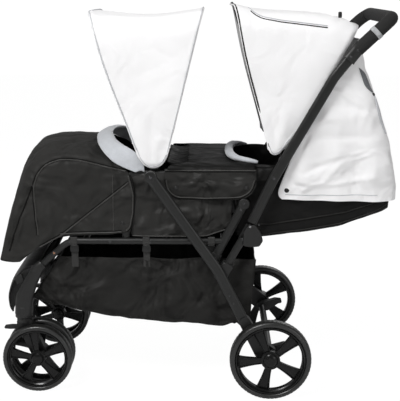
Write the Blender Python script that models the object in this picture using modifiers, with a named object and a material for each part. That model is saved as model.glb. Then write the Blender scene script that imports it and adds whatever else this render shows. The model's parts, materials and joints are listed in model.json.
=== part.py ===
"""Tandem stroller: a folding tube frame with two seats in line, two canopies, a basket and six wheels.

The stroller faces -X, its left side faces -Y, and it stands on Z = 0.
"""
import bpy
import bmesh
from math import radians, pi, sin, cos, tan, asin, atan2, sqrt
from mathutils import Vector, Matrix

for old in list(bpy.data.objects):
    bpy.data.objects.remove(old, do_unlink=True)

# Clearances
SEAT_GAP = 0.0003
BORE_GAP = 0.0004

# Wheels
REAR_RADIUS = 0.110
REAR_WIDTH = 0.034
REAR_PLANE = 0.250
REAR_AXLE_X = 0.200
AXLE = (REAR_AXLE_X, REAR_RADIUS)
FRONT_RADIUS = 0.095
FRONT_WIDTH = 0.028
FRONT_AXLE_X = -0.435
TWIN_HALF = 0.028
AXLE_RADIUS = 0.006
SPOKES = 5
HUB_RADIUS = 0.021
WHEEL_STEPS = 24

# Casters
CASTER_PLANE = 0.180
CASTER_TRAIL = 0.039
HOUSING_RADIUS = 0.023
HOUSING_BOTTOM = 0.203
FORK_WIDTH = 0.022

# Planes of the frame's tubes, each a distance from the middle
LEG_PLANE = 0.222
BAR_PLANE = 0.200
UPRIGHT_PLANE = 0.180
RAIL_PLANE = 0.1725

# Tube sections: height in the plane of the side, and thickness across it
LEG_HEIGHT, LEG_THICK = 0.029, 0.014
BAR_HEIGHT, BAR_THICK = 0.028, 0.018
STUB_HEIGHT = 0.021
UPRIGHT_HEIGHT, UPRIGHT_THICK = 0.024, 0.016
RAIL_HEIGHT, RAIL_THICK = 0.020, 0.012
SIDE_TUBE = 0.019
CROSS_TUBE = 0.016

# Pivots of the frame in the side view, as (X, Z)
LEG_PIVOT = (-0.119, 0.604)
BAR_PIVOT = (0.204, 0.598)
KNEE = (0.146, 0.474)
STUB_FOOT = (0.070, 0.336)
RECLINE_TUBE = (0.1005, 0.4725)
RECLINE_RADIUS = 0.006
BACKREST_HEAD = (0.480, 0.555)
FRONT_CROSS_X = -0.300
FRONT_RECLINE = (-0.075, 0.420)
FRONT_HOOD_PIVOT = (-0.114, 0.6263)
REAR_HOOD_PIVOT = (0.228, 0.640)
LOCK_PIVOT = (-0.492, 0.176)

# Knee joint of the push bar
BAR_CUT = 0.050
STUB_CUT = 0.046
TONGUE_THICK = 0.009
KNEE_RADIUS = 0.012

# Lower rails and legs
LOWER_RAIL_Z = 0.420
LOWER_RAIL_REAR = 0.055
RAIL_BEND = (-0.345, LOWER_RAIL_Z)
COLLAR = (-0.430, 0.343)
LEG_BEND = (0.058, 0.350)
LEG_END = (0.140, 0.185)

# Handle
SLEEVE = (0.404, 0.944)
HANDLE_CREST = (0.468, 1.022)
HANDLE_BAR = (0.492, 1.012)
HANDLE_RADIUS = 0.0105
FOAM = 0.0045
FOAM_START = 0.38

# Soft parts
TUB_HALF = 0.1635
FABRIC = 0.005
FLOOR_Z = LOWER_RAIL_Z + CROSS_TUBE / 2 + SEAT_GAP
FRONT_TUB = (-0.400, -0.090)
REAR_TUB = (-0.056, 0.087)
FRONT_TUB_TOP = 0.600
REAR_TUB_TOP = 0.606
HOOD_HALF = 0.186
HOOD_FABRIC = 0.004
HOOD_CORNER = 0.060
BASKET_HALF = 0.168
COVER_HALF = 0.186
SHELL_HALF = 0.1657
BACKREST_HALF = 0.146
PAD_THICK = 0.030
PAD_CROWN = 0.006

PARTS = bpy.data.collections.new("tandem_stroller")
CUTTERS = bpy.data.collections.new("cutters")
for group in (PARTS, CUTTERS):
    bpy.context.scene.collection.children.link(group)


# Finishes
def finish(name, colour, roughness, metallic=0.0):
    """A Principled material of one colour."""
    made = bpy.data.materials.new(name)
    made.use_nodes = True
    shader = made.node_tree.nodes["Principled BSDF"]
    shader.inputs["Base Color"].default_value = (*colour, 1.0)
    shader.inputs["Roughness"].default_value = roughness
    shader.inputs["Metallic"].default_value = metallic
    return made


TUBE_PAINT = finish("black_tube_paint", (0.022, 0.024, 0.024), 0.42, 0.3)
PLASTIC = finish("black_plastic", (0.018, 0.018, 0.019), 0.50)
RUBBER = finish("tyre_rubber", (0.030, 0.031, 0.031), 0.45)
BLACK_CLOTH = finish("black_cloth", (0.014, 0.014, 0.015), 0.85)
WHITE_CLOTH = finish("white_cloth", (0.86, 0.86, 0.87), 0.80)
GREY_FLEECE = finish("grey_fleece", (0.52, 0.56, 0.60), 0.95)
FOAM_GRIP = finish("foam_grip", (0.020, 0.020, 0.021), 0.90)
STEEL = finish("zinc_steel", (0.50, 0.50, 0.50), 0.30, 1.0)


# Helpers
def add(name, mesh, material=None, collection=PARTS):
    """An object for a mesh, in a collection, with its finish."""
    made = bpy.data.objects.new(name, mesh)
    collection.objects.link(made)
    if material:
        made.data.materials.clear()
        made.data.materials.append(material)
    if collection is CUTTERS:
        made.hide_render = True
        made.display_type = "WIRE"
    return made


def from_bmesh(name, bm, material=None, collection=PARTS):
    """An object for a bmesh, its faces pointing out."""
    bmesh.ops.recalc_face_normals(bm, faces=bm.faces)
    mesh = bpy.data.meshes.new(name)
    bm.to_mesh(mesh)
    bm.free()
    return add(name, mesh, material, collection)


def as_mesh(curve):
    """A curve object made a mesh object, its caps welded."""
    bpy.context.view_layer.update()
    mesh = bpy.data.meshes.new_from_object(curve.evaluated_get(bpy.context.evaluated_depsgraph_get()))
    bm = bmesh.new()
    bm.from_mesh(mesh)
    bmesh.ops.remove_doubles(bm, verts=bm.verts, dist=0.00001)
    bmesh.ops.recalc_face_normals(bm, faces=bm.faces)
    bm.to_mesh(mesh)
    bm.free()
    name, collection, place, spent = curve.name, curve.users_collection[0], curve.matrix_world.copy(), curve.data
    bpy.data.objects.remove(curve, do_unlink=True)
    bpy.data.curves.remove(spent)
    made = add(name, mesh, None, collection)
    made.matrix_world = place
    return made


def bake(obj):
    """Move an object's place and scale into its mesh."""
    bpy.context.view_layer.update()
    obj.data.transform(obj.matrix_world)
    obj.matrix_world = Matrix.Identity(4)
    return obj


def bent(corners, radius, steps=4):
    """Points of a path through corners, each corner but the ends rounded by an arc."""
    corners = [Vector(c) for c in corners]
    points = [corners[0]]
    for before, corner, after in zip(corners, corners[1:], corners[2:]):
        back, on = (before - corner).normalized(), (after - corner).normalized()
        half = back.angle(on) / 2
        reach = min(radius / tan(half), 0.45 * (before - corner).length, 0.45 * (after - corner).length)
        centre = corner + (back + on).normalized() * (reach / cos(half))
        start, end = corner + back * reach - centre, corner + on * reach - centre
        turn = start.angle(end)
        for k in range(steps + 1):
            share = k / steps
            weight = [sin((1 - share) * turn) / sin(turn), sin(share * turn) / sin(turn)]
            points.append(centre + start * weight[0] + end * weight[1])
    points.append(corners[-1])
    return points


def tube(name, points, height, material=None, thick=None, plane=0.0, sides=4, collection=PARTS):
    """A tube along points; with thick, an oval one that lies in the plane of the side at Y = plane."""
    curve = bpy.data.curves.new(name, "CURVE")
    curve.dimensions = "3D"
    curve.bevel_depth = height / 2
    curve.bevel_resolution = sides
    curve.use_fill_caps = True
    spline = curve.splines.new("POLY")
    spline.points.add(len(points) - 1)
    for slot, point in zip(spline.points, points):
        slot.co = (*Vector(point), 1.0)
    made = as_mesh(add(name, curve, None, collection))
    made.data.transform(Matrix.Diagonal((1.0, thick / height if thick else 1.0, 1.0, 1.0)))
    made.data.transform(Matrix.Translation((0.0, plane, 0.0)))
    if material:
        made.data.materials.append(material)
    return made


def flat(pairs):
    """Side-view pairs (X, Z) as points in the plane Y = 0."""
    return [(x, 0.0, z) for x, z in pairs]


def plate(name, outlines, near, far, material=None, collection=PARTS):
    """A flat plate from side-view outlines, between Y = near and Y = far."""
    curve = bpy.data.curves.new(name, "CURVE")
    curve.dimensions = "2D"
    curve.fill_mode = "BOTH"
    curve.extrude = abs(far - near) / 2
    for outline in outlines:
        spline = curve.splines.new("POLY")
        spline.points.add(len(outline) - 1)
        spline.use_cyclic_u = True
        for slot, (x, z) in zip(spline.points, outline):
            slot.co = (x, z, 0.0, 1.0)
    made = add(name, curve, None, collection)
    made.rotation_euler = (pi / 2, 0.0, 0.0)
    made.location = (0.0, (near + far) / 2, 0.0)
    made = bake(as_mesh(made))
    if material:
        made.data.materials.append(material)
    return made


def round_outline(outline, radius, steps=3):
    """A closed side-view outline with each corner rounded."""
    loop = [(x, 0.0, z) for x, z in outline]
    around = [loop[-1], *loop, loop[0]]
    points = bent(around, radius, steps)[1:-1]
    return [(p.x, p.z) for p in points]


def rod(name, start, end, radius, material=None, sides=12, collection=PARTS):
    """A solid cylinder from start to end."""
    start, end = Vector(start), Vector(end)
    bm = bmesh.new()
    bmesh.ops.create_cone(bm, cap_ends=True, segments=sides, radius1=radius, radius2=radius,
                          depth=(end - start).length)
    turn = Vector((0.0, 0.0, 1.0)).rotation_difference(end - start).to_matrix().to_4x4()
    bm.transform(Matrix.Translation((start + end) / 2) @ turn)
    return from_bmesh(name, bm, material, collection)


def cross_rod(name, place, middle, half, radius, **more):
    """A rod along Y at the side-view pair place, from middle - half to middle + half."""
    x, z = place
    return rod(name, (x, middle - half, z), (x, middle + half, z), radius, **more)


def block(name, low, high, material=None, collection=PARTS):
    """A box between two corners."""
    low, high = Vector(low), Vector(high)
    bm = bmesh.new()
    bmesh.ops.create_cube(bm, size=1.0)
    bm.transform(Matrix.Translation((low + high) / 2) @ Matrix.Diagonal((*(high - low), 1.0)))
    return from_bmesh(name, bm, material, collection)


def turned(name, profile, steps, material=None, collection=PARTS):
    """A closed or axis-to-axis profile of (radius, height) turned about Z."""
    mesh = bpy.data.meshes.new(name)
    closed = profile[0][0] > 0.0
    count = len(profile)
    edges = [(k, (k + 1) % count) for k in range(count if closed else count - 1)]
    mesh.from_pydata([(r, 0.0, h) for r, h in profile], edges, [])
    made = add(name, mesh, material, collection)
    screw = made.modifiers.new("Turn", "SCREW")
    screw.steps = screw.render_steps = steps
    screw.use_merge_vertices = True
    screw.merge_threshold = 0.00001
    return made


def combine(target, others, operation):
    """Boolean modifiers on target, one for each of the others, which become cutters."""
    for other in others:
        for collection in list(other.users_collection):
            collection.objects.unlink(other)
        CUTTERS.objects.link(other)
        other.hide_render = True
        other.display_type = "WIRE"
        made = target.modifiers.new(operation.title(), "BOOLEAN")
        made.operation = operation
        made.object = other
    return target


def fuse(target, *others):
    """Join pieces that are one piece in the real thing."""
    return combine(target, others, "UNION")


def cut(target, *others):
    """Take room for other pieces out of target."""
    return combine(target, others, "DIFFERENCE")


def skin(name, rows, thickness, material, smooth=True):
    """A sheet through rows of points, thickened inwards by Solidify."""
    mesh = bpy.data.meshes.new(name)
    across = len(rows[0])
    faces = [
        (r * across + c, r * across + c + 1, (r + 1) * across + c + 1, (r + 1) * across + c)
        for r in range(len(rows) - 1)
        for c in range(across - 1)
    ]
    mesh.from_pydata([tuple(p) for row in rows for p in row], [], faces)
    made = add(name, mesh, material)
    solid = made.modifiers.new("Cloth", "SOLIDIFY")
    solid.thickness = thickness
    solid.offset = -1.0
    if smooth:
        mesh.shade_smooth()
    return made


def hoop(half, length, corner, side_steps=3, arc_steps=4, top_steps=3, crown=0.0):
    """An upside-down U as (Y, height) pairs, from the left foot to the right one."""
    left = [(-half, (length - corner) * k / side_steps) for k in range(side_steps + 1)]
    for k in range(1, arc_steps + 1):
        turn = pi / 2 * k / arc_steps
        left.append((-half + corner * (1 - cos(turn)), length - corner * (1 - sin(turn))))
    inner = half - corner
    middle = [-inner + 2 * inner * k / (top_steps + 1) for k in range(1, top_steps + 1)]
    top = [(y, length + crown * (1 - (y / inner) ** 2)) for y in middle]
    return left + top + [(-y, h) for y, h in reversed(left)]


def hoop_row(foot, head, half, corner, bulge=0.0, **steps):
    """A hoop whose feet stand at foot and whose top lies at head, both side-view pairs."""
    along = Vector((head[0] - foot[0], head[1] - foot[1]))
    normal = Vector((-along.y, along.x)).normalized()
    row = []
    for y, height in hoop(half, along.length, corner, **steps):
        share = height / along.length
        side = bulge * 4 * share * (1 - share)
        x, z = Vector(foot) + along * share + normal * side
        row.append((x, y, z))
    return row


SIDES = {"left": -1, "right": 1}


# Wheels
def wheel(name, radius, width, place, outward, first_spoke):
    """A moulded rim with flared spokes and a domed hub, and the tyre on it, about a cross axle."""
    seat = radius * 0.862
    opening = radius * 0.765
    face = (-0.004, 0.007)
    outer_flank = seat - radius * 0.03
    window_start = HUB_RADIUS * 0.93
    narrow, wide = radius * 0.075, radius * 0.165

    def half_angle(at):
        share = (at - window_start) / (opening - window_start)
        return asin((narrow + (wide - narrow) * share ** 1.6) / at)

    def window(left_spoke, right_spoke, inner, outer):
        radii = [inner, inner + (outer - inner) * 0.55, outer]
        up = [(r, left_spoke + half_angle(r)) for r in radii]
        down = [(r, right_spoke - half_angle(r)) for r in reversed(radii)]
        start, end = up[-1][1], down[0][1]
        arc = [(outer, start + (end - start) * k / 4) for k in range(1, 4)]
        return [(r * cos(a), r * sin(a)) for r, a in up + arc + down]

    step = 2 * pi / SPOKES

    def circle(at, count):
        return [(at * cos(2 * pi * k / count), at * sin(2 * pi * k / count)) for k in range(count)]

    windows = [window(first_spoke + step * k, first_spoke + step * (k + 1), window_start, opening * 1.03)
               for k in range(SPOKES)]
    outlines = [circle(outer_flank, WHEEL_STEPS), circle(HUB_RADIUS * 0.6, 8), *windows]
    spokes = plate(f"{name}_rim", outlines, -face[1], -face[0], PLASTIC)
    spokes.data.transform(Matrix.Rotation(-pi / 2, 4, "X"))

    pocket_in, pocket_out, lip = HUB_RADIUS * 1.32, opening * 0.96, 0.0032
    pockets = []
    for k in range(SPOKES):
        middle = first_spoke + step * k
        radii = [pocket_in, (pocket_in + pocket_out) / 2, pocket_out]
        one = [(r, middle - half_angle(r) + lip / r) for r in radii]
        other = [(r, middle + half_angle(r) - lip / r) for r in reversed(radii)]
        pockets.append([(r * cos(a), r * sin(a)) for r, a in one + other])
    recess = plate(f"{name}_recess", pockets, -face[1] - 0.002, -face[1] + 0.0022, None, CUTTERS)
    recess.data.transform(Matrix.Rotation(-pi / 2, 4, "X"))

    half = width * 0.38
    barrel = turned(f"{name}_barrel", [(seat - SEAT_GAP, half), (seat - SEAT_GAP, -half),
                                       (opening, -half), (opening, half)], WHEEL_STEPS)
    inner, dome = -width / 2, width / 2
    bore = AXLE_RADIUS + BORE_GAP
    hub = turned(f"{name}_hub", [(0.0, dome), (HUB_RADIUS * 0.72, dome - 0.002), (HUB_RADIUS, face[1] + 0.002),
                                 (HUB_RADIUS, face[0]), (HUB_RADIUS * 0.8, inner), (bore, inner),
                                 (bore, dome - 0.009), (0.0, dome - 0.009)], 12)
    rim = cut(fuse(spokes, barrel, hub), recess)

    tread, flank = radius - seat, width / 2
    upper = [(seat, half * 1.02), (seat + 0.45 * tread, flank), (radius, flank * 0.50)]
    tyre = turned(f"{name}_tyre", upper + [(r, -h) for r, h in reversed(upper)], WHEEL_STEPS, RUBBER)
    turn = Matrix.Rotation(pi / 2 * -outward, 4, "X")
    for piece in (rim, tyre, barrel, hub, recess):
        piece.matrix_world = Matrix.Translation(place) @ turn
    return rim, tyre


def wheels():
    for side, sign in SIDES.items():
        wheel(f"rear_wheel_{side}", REAR_RADIUS, REAR_WIDTH, (REAR_AXLE_X, sign * REAR_PLANE, REAR_RADIUS),
              sign, radians(-103))
        for where, offset, spoke in (("outer", TWIN_HALF, 97), ("inner", -TWIN_HALF, 60)):
            facing = sign if where == "outer" else -sign
            place = (FRONT_AXLE_X, sign * (CASTER_PLANE + offset), FRONT_RADIUS)
            wheel(f"front_wheel_{side}_{where}", FRONT_RADIUS, FRONT_WIDTH, place, facing, radians(spoke))


# Rear legs, axle and brake
def rear_legs():
    path = bent(flat([LEG_PIVOT, LEG_BEND, LEG_END]), 0.15, 4)
    for side, sign in SIDES.items():
        leg = tube(f"rear_leg_{side}", path, LEG_HEIGHT, TUBE_PAINT, LEG_THICK, sign * LEG_PLANE)
        across = LEG_THICK / 2 - 0.0002
        head = cross_rod("leg_head", LEG_PIVOT, sign * LEG_PLANE, across, LEG_HEIGHT / 2 + 0.001, sides=20)
        fuse(leg, head)


def axle_brackets():
    """Moulded brackets that take each leg's end and the axle."""
    outline = round_outline([(0.112, 0.212), (0.137, 0.228), (0.176, 0.160), (0.217, 0.128), (0.219, 0.096),
                             (0.190, 0.088), (0.160, 0.112)], 0.012)
    for side, sign in SIDES.items():
        near, far = sign * (LEG_PLANE - 0.0105), sign * (REAR_PLANE - REAR_WIDTH / 2 - 0.001)
        bracket = plate(f"axle_bracket_{side}", [outline], near, far, PLASTIC)
        room = tube("leg_room", bent(flat([LEG_PIVOT, LEG_BEND, LEG_END]), 0.15, 4), LEG_HEIGHT + 2 * SEAT_GAP,
                    None, LEG_THICK + 2 * SEAT_GAP, sign * LEG_PLANE, collection=CUTTERS)
        end_room = cross_rod("leg_end_room", LEG_END, sign * LEG_PLANE, LEG_THICK / 2 + SEAT_GAP, 0.016,
                             collection=CUTTERS)
        bore = cross_rod("axle_bore", AXLE, sign * LEG_PLANE, 0.025, AXLE_RADIUS + SEAT_GAP, collection=CUTTERS)
        cut(bracket, room, end_room, bore)


SLEEVE_RADIUS = 0.010
PEDAL_PLANE = 0.186
PEDAL_HALF = 0.010


def rear_axle():
    reach = REAR_PLANE + REAR_WIDTH / 2 - 0.0095
    bar = cross_rod("rear_axle", AXLE, 0.0, reach, AXLE_RADIUS, material=STEEL)
    fuse(bar, cross_rod("axle_sleeve", AXLE, 0.0, LEG_PLANE - 0.011, SLEEVE_RADIUS, sides=16))


def brake_pedals():
    """A foot lever beside each bracket, hung on the axle sleeve."""
    outline = round_outline([(-0.016, 0.010), (-0.010, -0.016), (0.018, -0.013), (0.050, 0.010),
                             (0.062, 0.012), (0.060, 0.022), (0.040, 0.024), (0.012, 0.016)], 0.005, 2)
    placed = [(REAR_AXLE_X + x, REAR_RADIUS + z) for x, z in outline]
    for side, sign in SIDES.items():
        pedal = plate(f"brake_pedal_{side}", [placed], sign * (PEDAL_PLANE - PEDAL_HALF),
                      sign * (PEDAL_PLANE + PEDAL_HALF), PLASTIC)
        cut(pedal, cross_rod("pedal_bore", AXLE, sign * PEDAL_PLANE, 2 * PEDAL_HALF, SLEEVE_RADIUS + BORE_GAP,
                             sides=16, collection=CUTTERS))


# Push bar, knee and handle
def unit(start, end):
    along = Vector((end[0] - start[0], end[1] - start[1]))
    return along / along.length


def strap_outline(root, down, half):
    """A strap from root to the knee's pivot, rounded there; down is the way it points."""
    side = Vector((-down.y, down.x)) * half
    knee = Vector(KNEE)
    start = atan2(side.y, side.x)
    nose = [knee + Vector((cos(start - pi * k / 8), sin(start - pi * k / 8))) * half for k in range(9)]
    return [tuple(point) for point in (root + side, *nose, root - side)]


def push_bar():
    """Side tubes of the push bar, slotted at the knee, with a lug at the pivot."""
    down = unit(BAR_PIVOT, KNEE)
    cut_end = Vector(KNEE) - down * BAR_CUT
    path = bent(flat([tuple(cut_end), BAR_PIVOT, SLEEVE]), 0.4, 4)
    lock_outline = round_outline([(0.124, 0.463), (0.134, 0.482), (0.160, 0.484), (0.176, 0.462), (0.178, 0.432),
                                  (0.168, 0.422), (0.118, 0.428)], 0.010)
    for name, sign in SIDES.items():
        bar = tube(f"push_bar_{name}", path, BAR_HEIGHT, TUBE_PAINT, BAR_THICK, sign * BAR_PLANE)
        middle = sign * BAR_PLANE
        half = BAR_THICK / 2 - 0.0005
        lug = plate("knee_lug", [strap_outline(cut_end - down * 0.012, down, KNEE_RADIUS)], middle - half, middle + half)
        side = Vector((-down.y, down.x)) * 0.03
        top, low = Vector(KNEE) - down * (BAR_CUT + 0.008), Vector(KNEE) + down * 0.03
        half = TONGUE_THICK / 2 + BORE_GAP
        slot = plate("knee_slot", [[tuple(top + side), tuple(low + side), tuple(low - side), tuple(top - side)]],
                     middle - half, middle + half, None, CUTTERS)
        face = BAR_PLANE + BAR_THICK / 2
        lock = plate("fold_lock", [lock_outline], sign * (face + SEAT_GAP), sign * (face + 0.0045))
        boss = cross_rod("lock_boss", KNEE, sign * face, 0.0025, 0.009)
        cut(fuse(bar, lug, boss, lock), slot)


def handle_start():
    """Where the handle's tube leaves the push bar's, in the sleeve."""
    return Vector(SLEEVE) + unit(BAR_PIVOT, SLEEVE) * 0.004


def handle():
    """The cross handle, its two sleeves and its foam."""
    rise = unit(BAR_PIVOT, SLEEVE)
    start = handle_start()
    corners = [(start.x, BAR_PLANE, start.y), (HANDLE_CREST[0], BAR_PLANE, HANDLE_CREST[1]),
               (HANDLE_BAR[0], BAR_PLANE - 0.004, HANDLE_BAR[1]),
               (HANDLE_BAR[0], -BAR_PLANE + 0.004, HANDLE_BAR[1]),
               (HANDLE_CREST[0], -BAR_PLANE, HANDLE_CREST[1]), (start.x, -BAR_PLANE, start.y)]
    path = bent([(x, -y, z) for x, y, z in corners], 0.05, 3)
    bar = tube("handle_bar", path, 2 * HANDLE_RADIUS, TUBE_PAINT, sides=2)
    left, right = (path[0].lerp(path[1], FOAM_START), path[-1].lerp(path[-2], FOAM_START))
    foam = tube("handle_grip", [left, *path[1:-1], right], 2 * (HANDLE_RADIUS + FOAM), FOAM_GRIP, sides=3)
    room = tube("grip_bore", path, 2 * (HANDLE_RADIUS + SEAT_GAP), sides=2, collection=CUTTERS)
    cut(foam, room)
    rooms = []
    low, high = Vector(SLEEVE) - rise * 0.022, Vector(SLEEVE) + rise * 0.030
    for sign in SIDES.values():
        fuse(bar, tube("sleeve", flat([tuple(low), tuple(high)]), BAR_HEIGHT + 0.008, None, BAR_THICK + 0.008,
                       sign * BAR_PLANE))
        rooms.append(tube("bar_room", bent(flat([KNEE, BAR_PIVOT, SLEEVE]), 0.4, 4), BAR_HEIGHT + 2 * SEAT_GAP,
                          None, BAR_THICK + 2 * SEAT_GAP, sign * BAR_PLANE, collection=CUTTERS))
    cut(bar, *rooms)


def knee_stubs():
    """The lower links of the knees: a tube with a tongue, and a boot at the foot."""
    down = unit(KNEE, STUB_FOOT)
    side = Vector((-down.y, down.x))
    top, foot = Vector(KNEE) + down * STUB_CUT, Vector(STUB_FOOT)
    corners = ((-0.030, 0.0145), (-0.030, -0.0145), (0.016, -0.017), (0.022, 0.006), (0.002, 0.015))
    boot_outline = round_outline([tuple(foot + down * a + side * b) for a, b in corners], 0.006, 2)
    tongue = strap_outline(top + down * 0.015, -down, KNEE_RADIUS * 0.8)
    inner, outer = BAR_PLANE - 0.0105, LEG_PLANE - LEG_THICK / 2 - SEAT_GAP
    for name, sign in SIDES.items():
        middle, half = sign * BAR_PLANE, TONGUE_THICK / 2
        stub = tube(f"knee_stub_{name}", flat([tuple(top), STUB_FOOT]), STUB_HEIGHT, TUBE_PAINT, BAR_THICK, middle)
        blade = plate("tongue", [tongue], middle - half, middle + half)
        boot = plate("boot", [boot_outline], sign * inner, sign * outer)
        fuse(stub, blade, boot)


# Seat frame
def side_frames():
    """Lower rail and front leg of each side, bent from one tube."""
    path = bent(flat([(LOWER_RAIL_REAR, LOWER_RAIL_Z), RAIL_BEND, COLLAR]), 0.045, 5)
    for side, sign in SIDES.items():
        tube(f"side_frame_{side}", path, SIDE_TUBE, TUBE_PAINT, plane=sign * UPRIGHT_PLANE)


UPRIGHT_TOP = (0.127, 0.524)
UPRIGHT_FOOT = (0.045, 0.365)
RAIL_FRONT_X = -0.190


def rear_uprights():
    """The upright behind each lower rail, with its end cap, its foot socket and the rail's socket."""
    along = unit(UPRIGHT_FOOT, UPRIGHT_TOP)
    foot = Vector(UPRIGHT_FOOT)
    socket_path = flat([tuple(foot - along * 0.012), tuple(foot + along * 0.022)])
    frame = cross_rod("rear_uprights", RECLINE_TUBE, 0.0, UPRIGHT_PLANE, RECLINE_RADIUS, material=TUBE_PAINT)
    for sign in SIDES.values():
        middle = sign * UPRIGHT_PLANE
        post = tube("upright", flat([UPRIGHT_FOOT, UPRIGHT_TOP]), UPRIGHT_HEIGHT, None, UPRIGHT_THICK, middle, sides=3)
        cap = cross_rod("cap", UPRIGHT_TOP, middle, UPRIGHT_THICK / 2 - 0.0001, 0.0145, sides=16)
        socket = tube("socket", socket_path, UPRIGHT_HEIGHT + 0.006, None, UPRIGHT_THICK + 0.0005, middle, sides=3)
        lug = rod("lug", (LOWER_RAIL_REAR + SEAT_GAP, middle, LOWER_RAIL_Z), (0.078, middle, LOWER_RAIL_Z), 0.0078)
        fuse(frame, post, cap, socket, lug)
    share = (LOWER_RAIL_Z - UPRIGHT_FOOT[1]) / (UPRIGHT_TOP[1] - UPRIGHT_FOOT[1])
    seat_x = UPRIGHT_FOOT[0] + share * (UPRIGHT_TOP[0] - UPRIGHT_FOOT[0])
    fuse(frame, cross_rod("seat_tube", (seat_x, LOWER_RAIL_Z), 0.0, UPRIGHT_PLANE, CROSS_TUBE / 2))


def upper_rails():
    """The hidden rail under each seat side, with the bosses that the leg and the bar turn on."""
    foot = LOWER_RAIL_Z + SIDE_TUBE / 2 + SEAT_GAP
    path = bent(flat([(RAIL_FRONT_X, foot), (RAIL_FRONT_X, LEG_PIVOT[1]), BAR_PIVOT]), 0.03, 4)
    for side, sign in SIDES.items():
        rail = tube(f"upper_rail_{side}", path, RAIL_HEIGHT, TUBE_PAINT, RAIL_THICK, sign * RAIL_PLANE)
        bosses = [
            rod("boss", (x, sign * RAIL_PLANE, z), (x, sign * reach, z), 0.0105, sides=16)
            for (x, z), reach in ((LEG_PIVOT, LEG_PLANE - LEG_THICK / 2 - SEAT_GAP),
                                  (BAR_PIVOT, BAR_PLANE - BAR_THICK / 2 - SEAT_GAP))
        ]
        fuse(rail, *bosses)


def cross_tubes():
    """Cross tubes between the side frames, under the front seat and between the seats."""
    reach = UPRIGHT_PLANE - SIDE_TUBE / 2 - SEAT_GAP
    for name, x in (("front", FRONT_CROSS_X), ("middle", FRONT_RECLINE[0])):
        rod(f"cross_tube_{name}", (x, -reach, LOWER_RAIL_Z), (x, reach, LOWER_RAIL_Z), CROSS_TUBE / 2, TUBE_PAINT)


NECK_HEIGHT, NECK_THICK = 0.034, 0.028
SWIVEL_X = FRONT_AXLE_X - CASTER_TRAIL


def neck_path():
    """The middle line of the lower leg, from the collar down to the swivel housing."""
    return bent(flat([COLLAR, (-0.462, 0.302), (SWIVEL_X, 0.262), (SWIVEL_X, 0.236)]), 0.05, 3)


def lower_legs():
    """The moulded lower leg: collar on the tube, a curved neck and the caster's housing."""
    slope = unit(RAIL_BEND, COLLAR)
    start = Vector(COLLAR)
    for side, sign in SIDES.items():
        neck = tube(f"lower_leg_{side}", neck_path(), NECK_HEIGHT, PLASTIC, NECK_THICK, sign * CASTER_PLANE)
        housing = turned("housing", [(0.0, 0.088), (HOUSING_RADIUS * 0.8, 0.080), (HOUSING_RADIUS, 0.062),
                                     (HOUSING_RADIUS, 0.0), (0.0, 0.0)], 20)
        housing.matrix_world = Matrix.Translation((SWIVEL_X, sign * CASTER_PLANE, HOUSING_BOTTOM))
        back = Vector(COLLAR) - slope * 0.018
        ring = tube("collar", flat([tuple(back), tuple(start + slope * 0.012)]), 0.030, None, 0.030, sign * CASTER_PLANE)
        room = tube("tube_room", bent(flat([(LOWER_RAIL_REAR, LOWER_RAIL_Z), RAIL_BEND, COLLAR]), 0.045, 5),
                    SIDE_TUBE + 2 * SEAT_GAP, None, None, sign * UPRIGHT_PLANE, collection=CUTTERS)
        cut(fuse(neck, housing, ring), room)


def front_footrest():
    """A curved foot plate before the lower legs, with an ear that meets each of them."""
    half = CASTER_PLANE - 0.015 - SEAT_GAP
    outline = [(-0.442, 0.350), (-0.470, 0.334), (-0.494, 0.306), (-0.510, 0.272), (-0.516, 0.240), (-0.514, 0.212)]
    curve = [Vector((x, 0.0, z)) for x, z in outline]
    rows = [[(p.x, y, p.z) for y in (-half, -half * 0.5, 0.0, half * 0.5, half)] for p in curve]
    foot_plate = skin("front_footrest", rows, 0.006, PLASTIC)
    foot_plate.modifiers["Cloth"].offset = 0.0
    for sign in SIDES.values():
        fuse(foot_plate, cross_rod("ear", (-0.486, 0.302), sign * (CASTER_PLANE - 0.016), 0.012, 0.011))
    for sign in SIDES.values():
        cut(foot_plate, tube("neck_room", neck_path(), NECK_HEIGHT + 2 * SEAT_GAP, None, NECK_THICK + 2 * SEAT_GAP,
                             sign * CASTER_PLANE, collection=CUTTERS))


def casters():
    """The fork of each pair of front wheels with its axle, and the swivel's lock lever."""
    outline = round_outline([(SWIVEL_X - 0.019, 0.2005), (SWIVEL_X + 0.019, 0.2005), (SWIVEL_X + 0.030, 0.176),
                             (FRONT_AXLE_X + 0.020, 0.108), (FRONT_AXLE_X + 0.006, 0.078),
                             (FRONT_AXLE_X - 0.014, 0.082), (SWIVEL_X - 0.004, 0.150), (SWIVEL_X - 0.017, 0.176)],
                            0.007, 2)
    half, lever_half = FORK_WIDTH / 2, 0.007
    lever = [(LOCK_PIVOT[0] + x, LOCK_PIVOT[1] + z) for x, z in
             round_outline([(0.005, 0.004), (0.004, -0.005), (-0.020, -0.006), (-0.036, -0.0045), (-0.036, 0.0015),
                            (-0.018, 0.004)], 0.0025, 2)]
    for side, sign in SIDES.items():
        middle = sign * CASTER_PLANE
        fork = plate(f"caster_fork_{side}", [outline], middle - half, middle + half, PLASTIC)
        axle = cross_rod("fork_axle", (FRONT_AXLE_X, FRONT_RADIUS), middle, TWIN_HALF + FRONT_WIDTH / 2 - 0.0095,
                         AXLE_RADIUS)
        cap = rod("swivel_cap", (SWIVEL_X, middle, 0.192), (SWIVEL_X, middle, HOUSING_BOTTOM - BORE_GAP), 0.0195,
                  sides=16)
        room = block("lever_room", (SWIVEL_X - 0.030, middle - lever_half - 0.0005, 0.166),
                     (SWIVEL_X - 0.010, middle + lever_half + 0.0005, 0.1865), collection=CUTTERS)
        cut(fuse(fork, axle, cap), room)
        plate(f"swivel_lock_{side}", [lever], middle - lever_half, middle + lever_half, PLASTIC)


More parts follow.
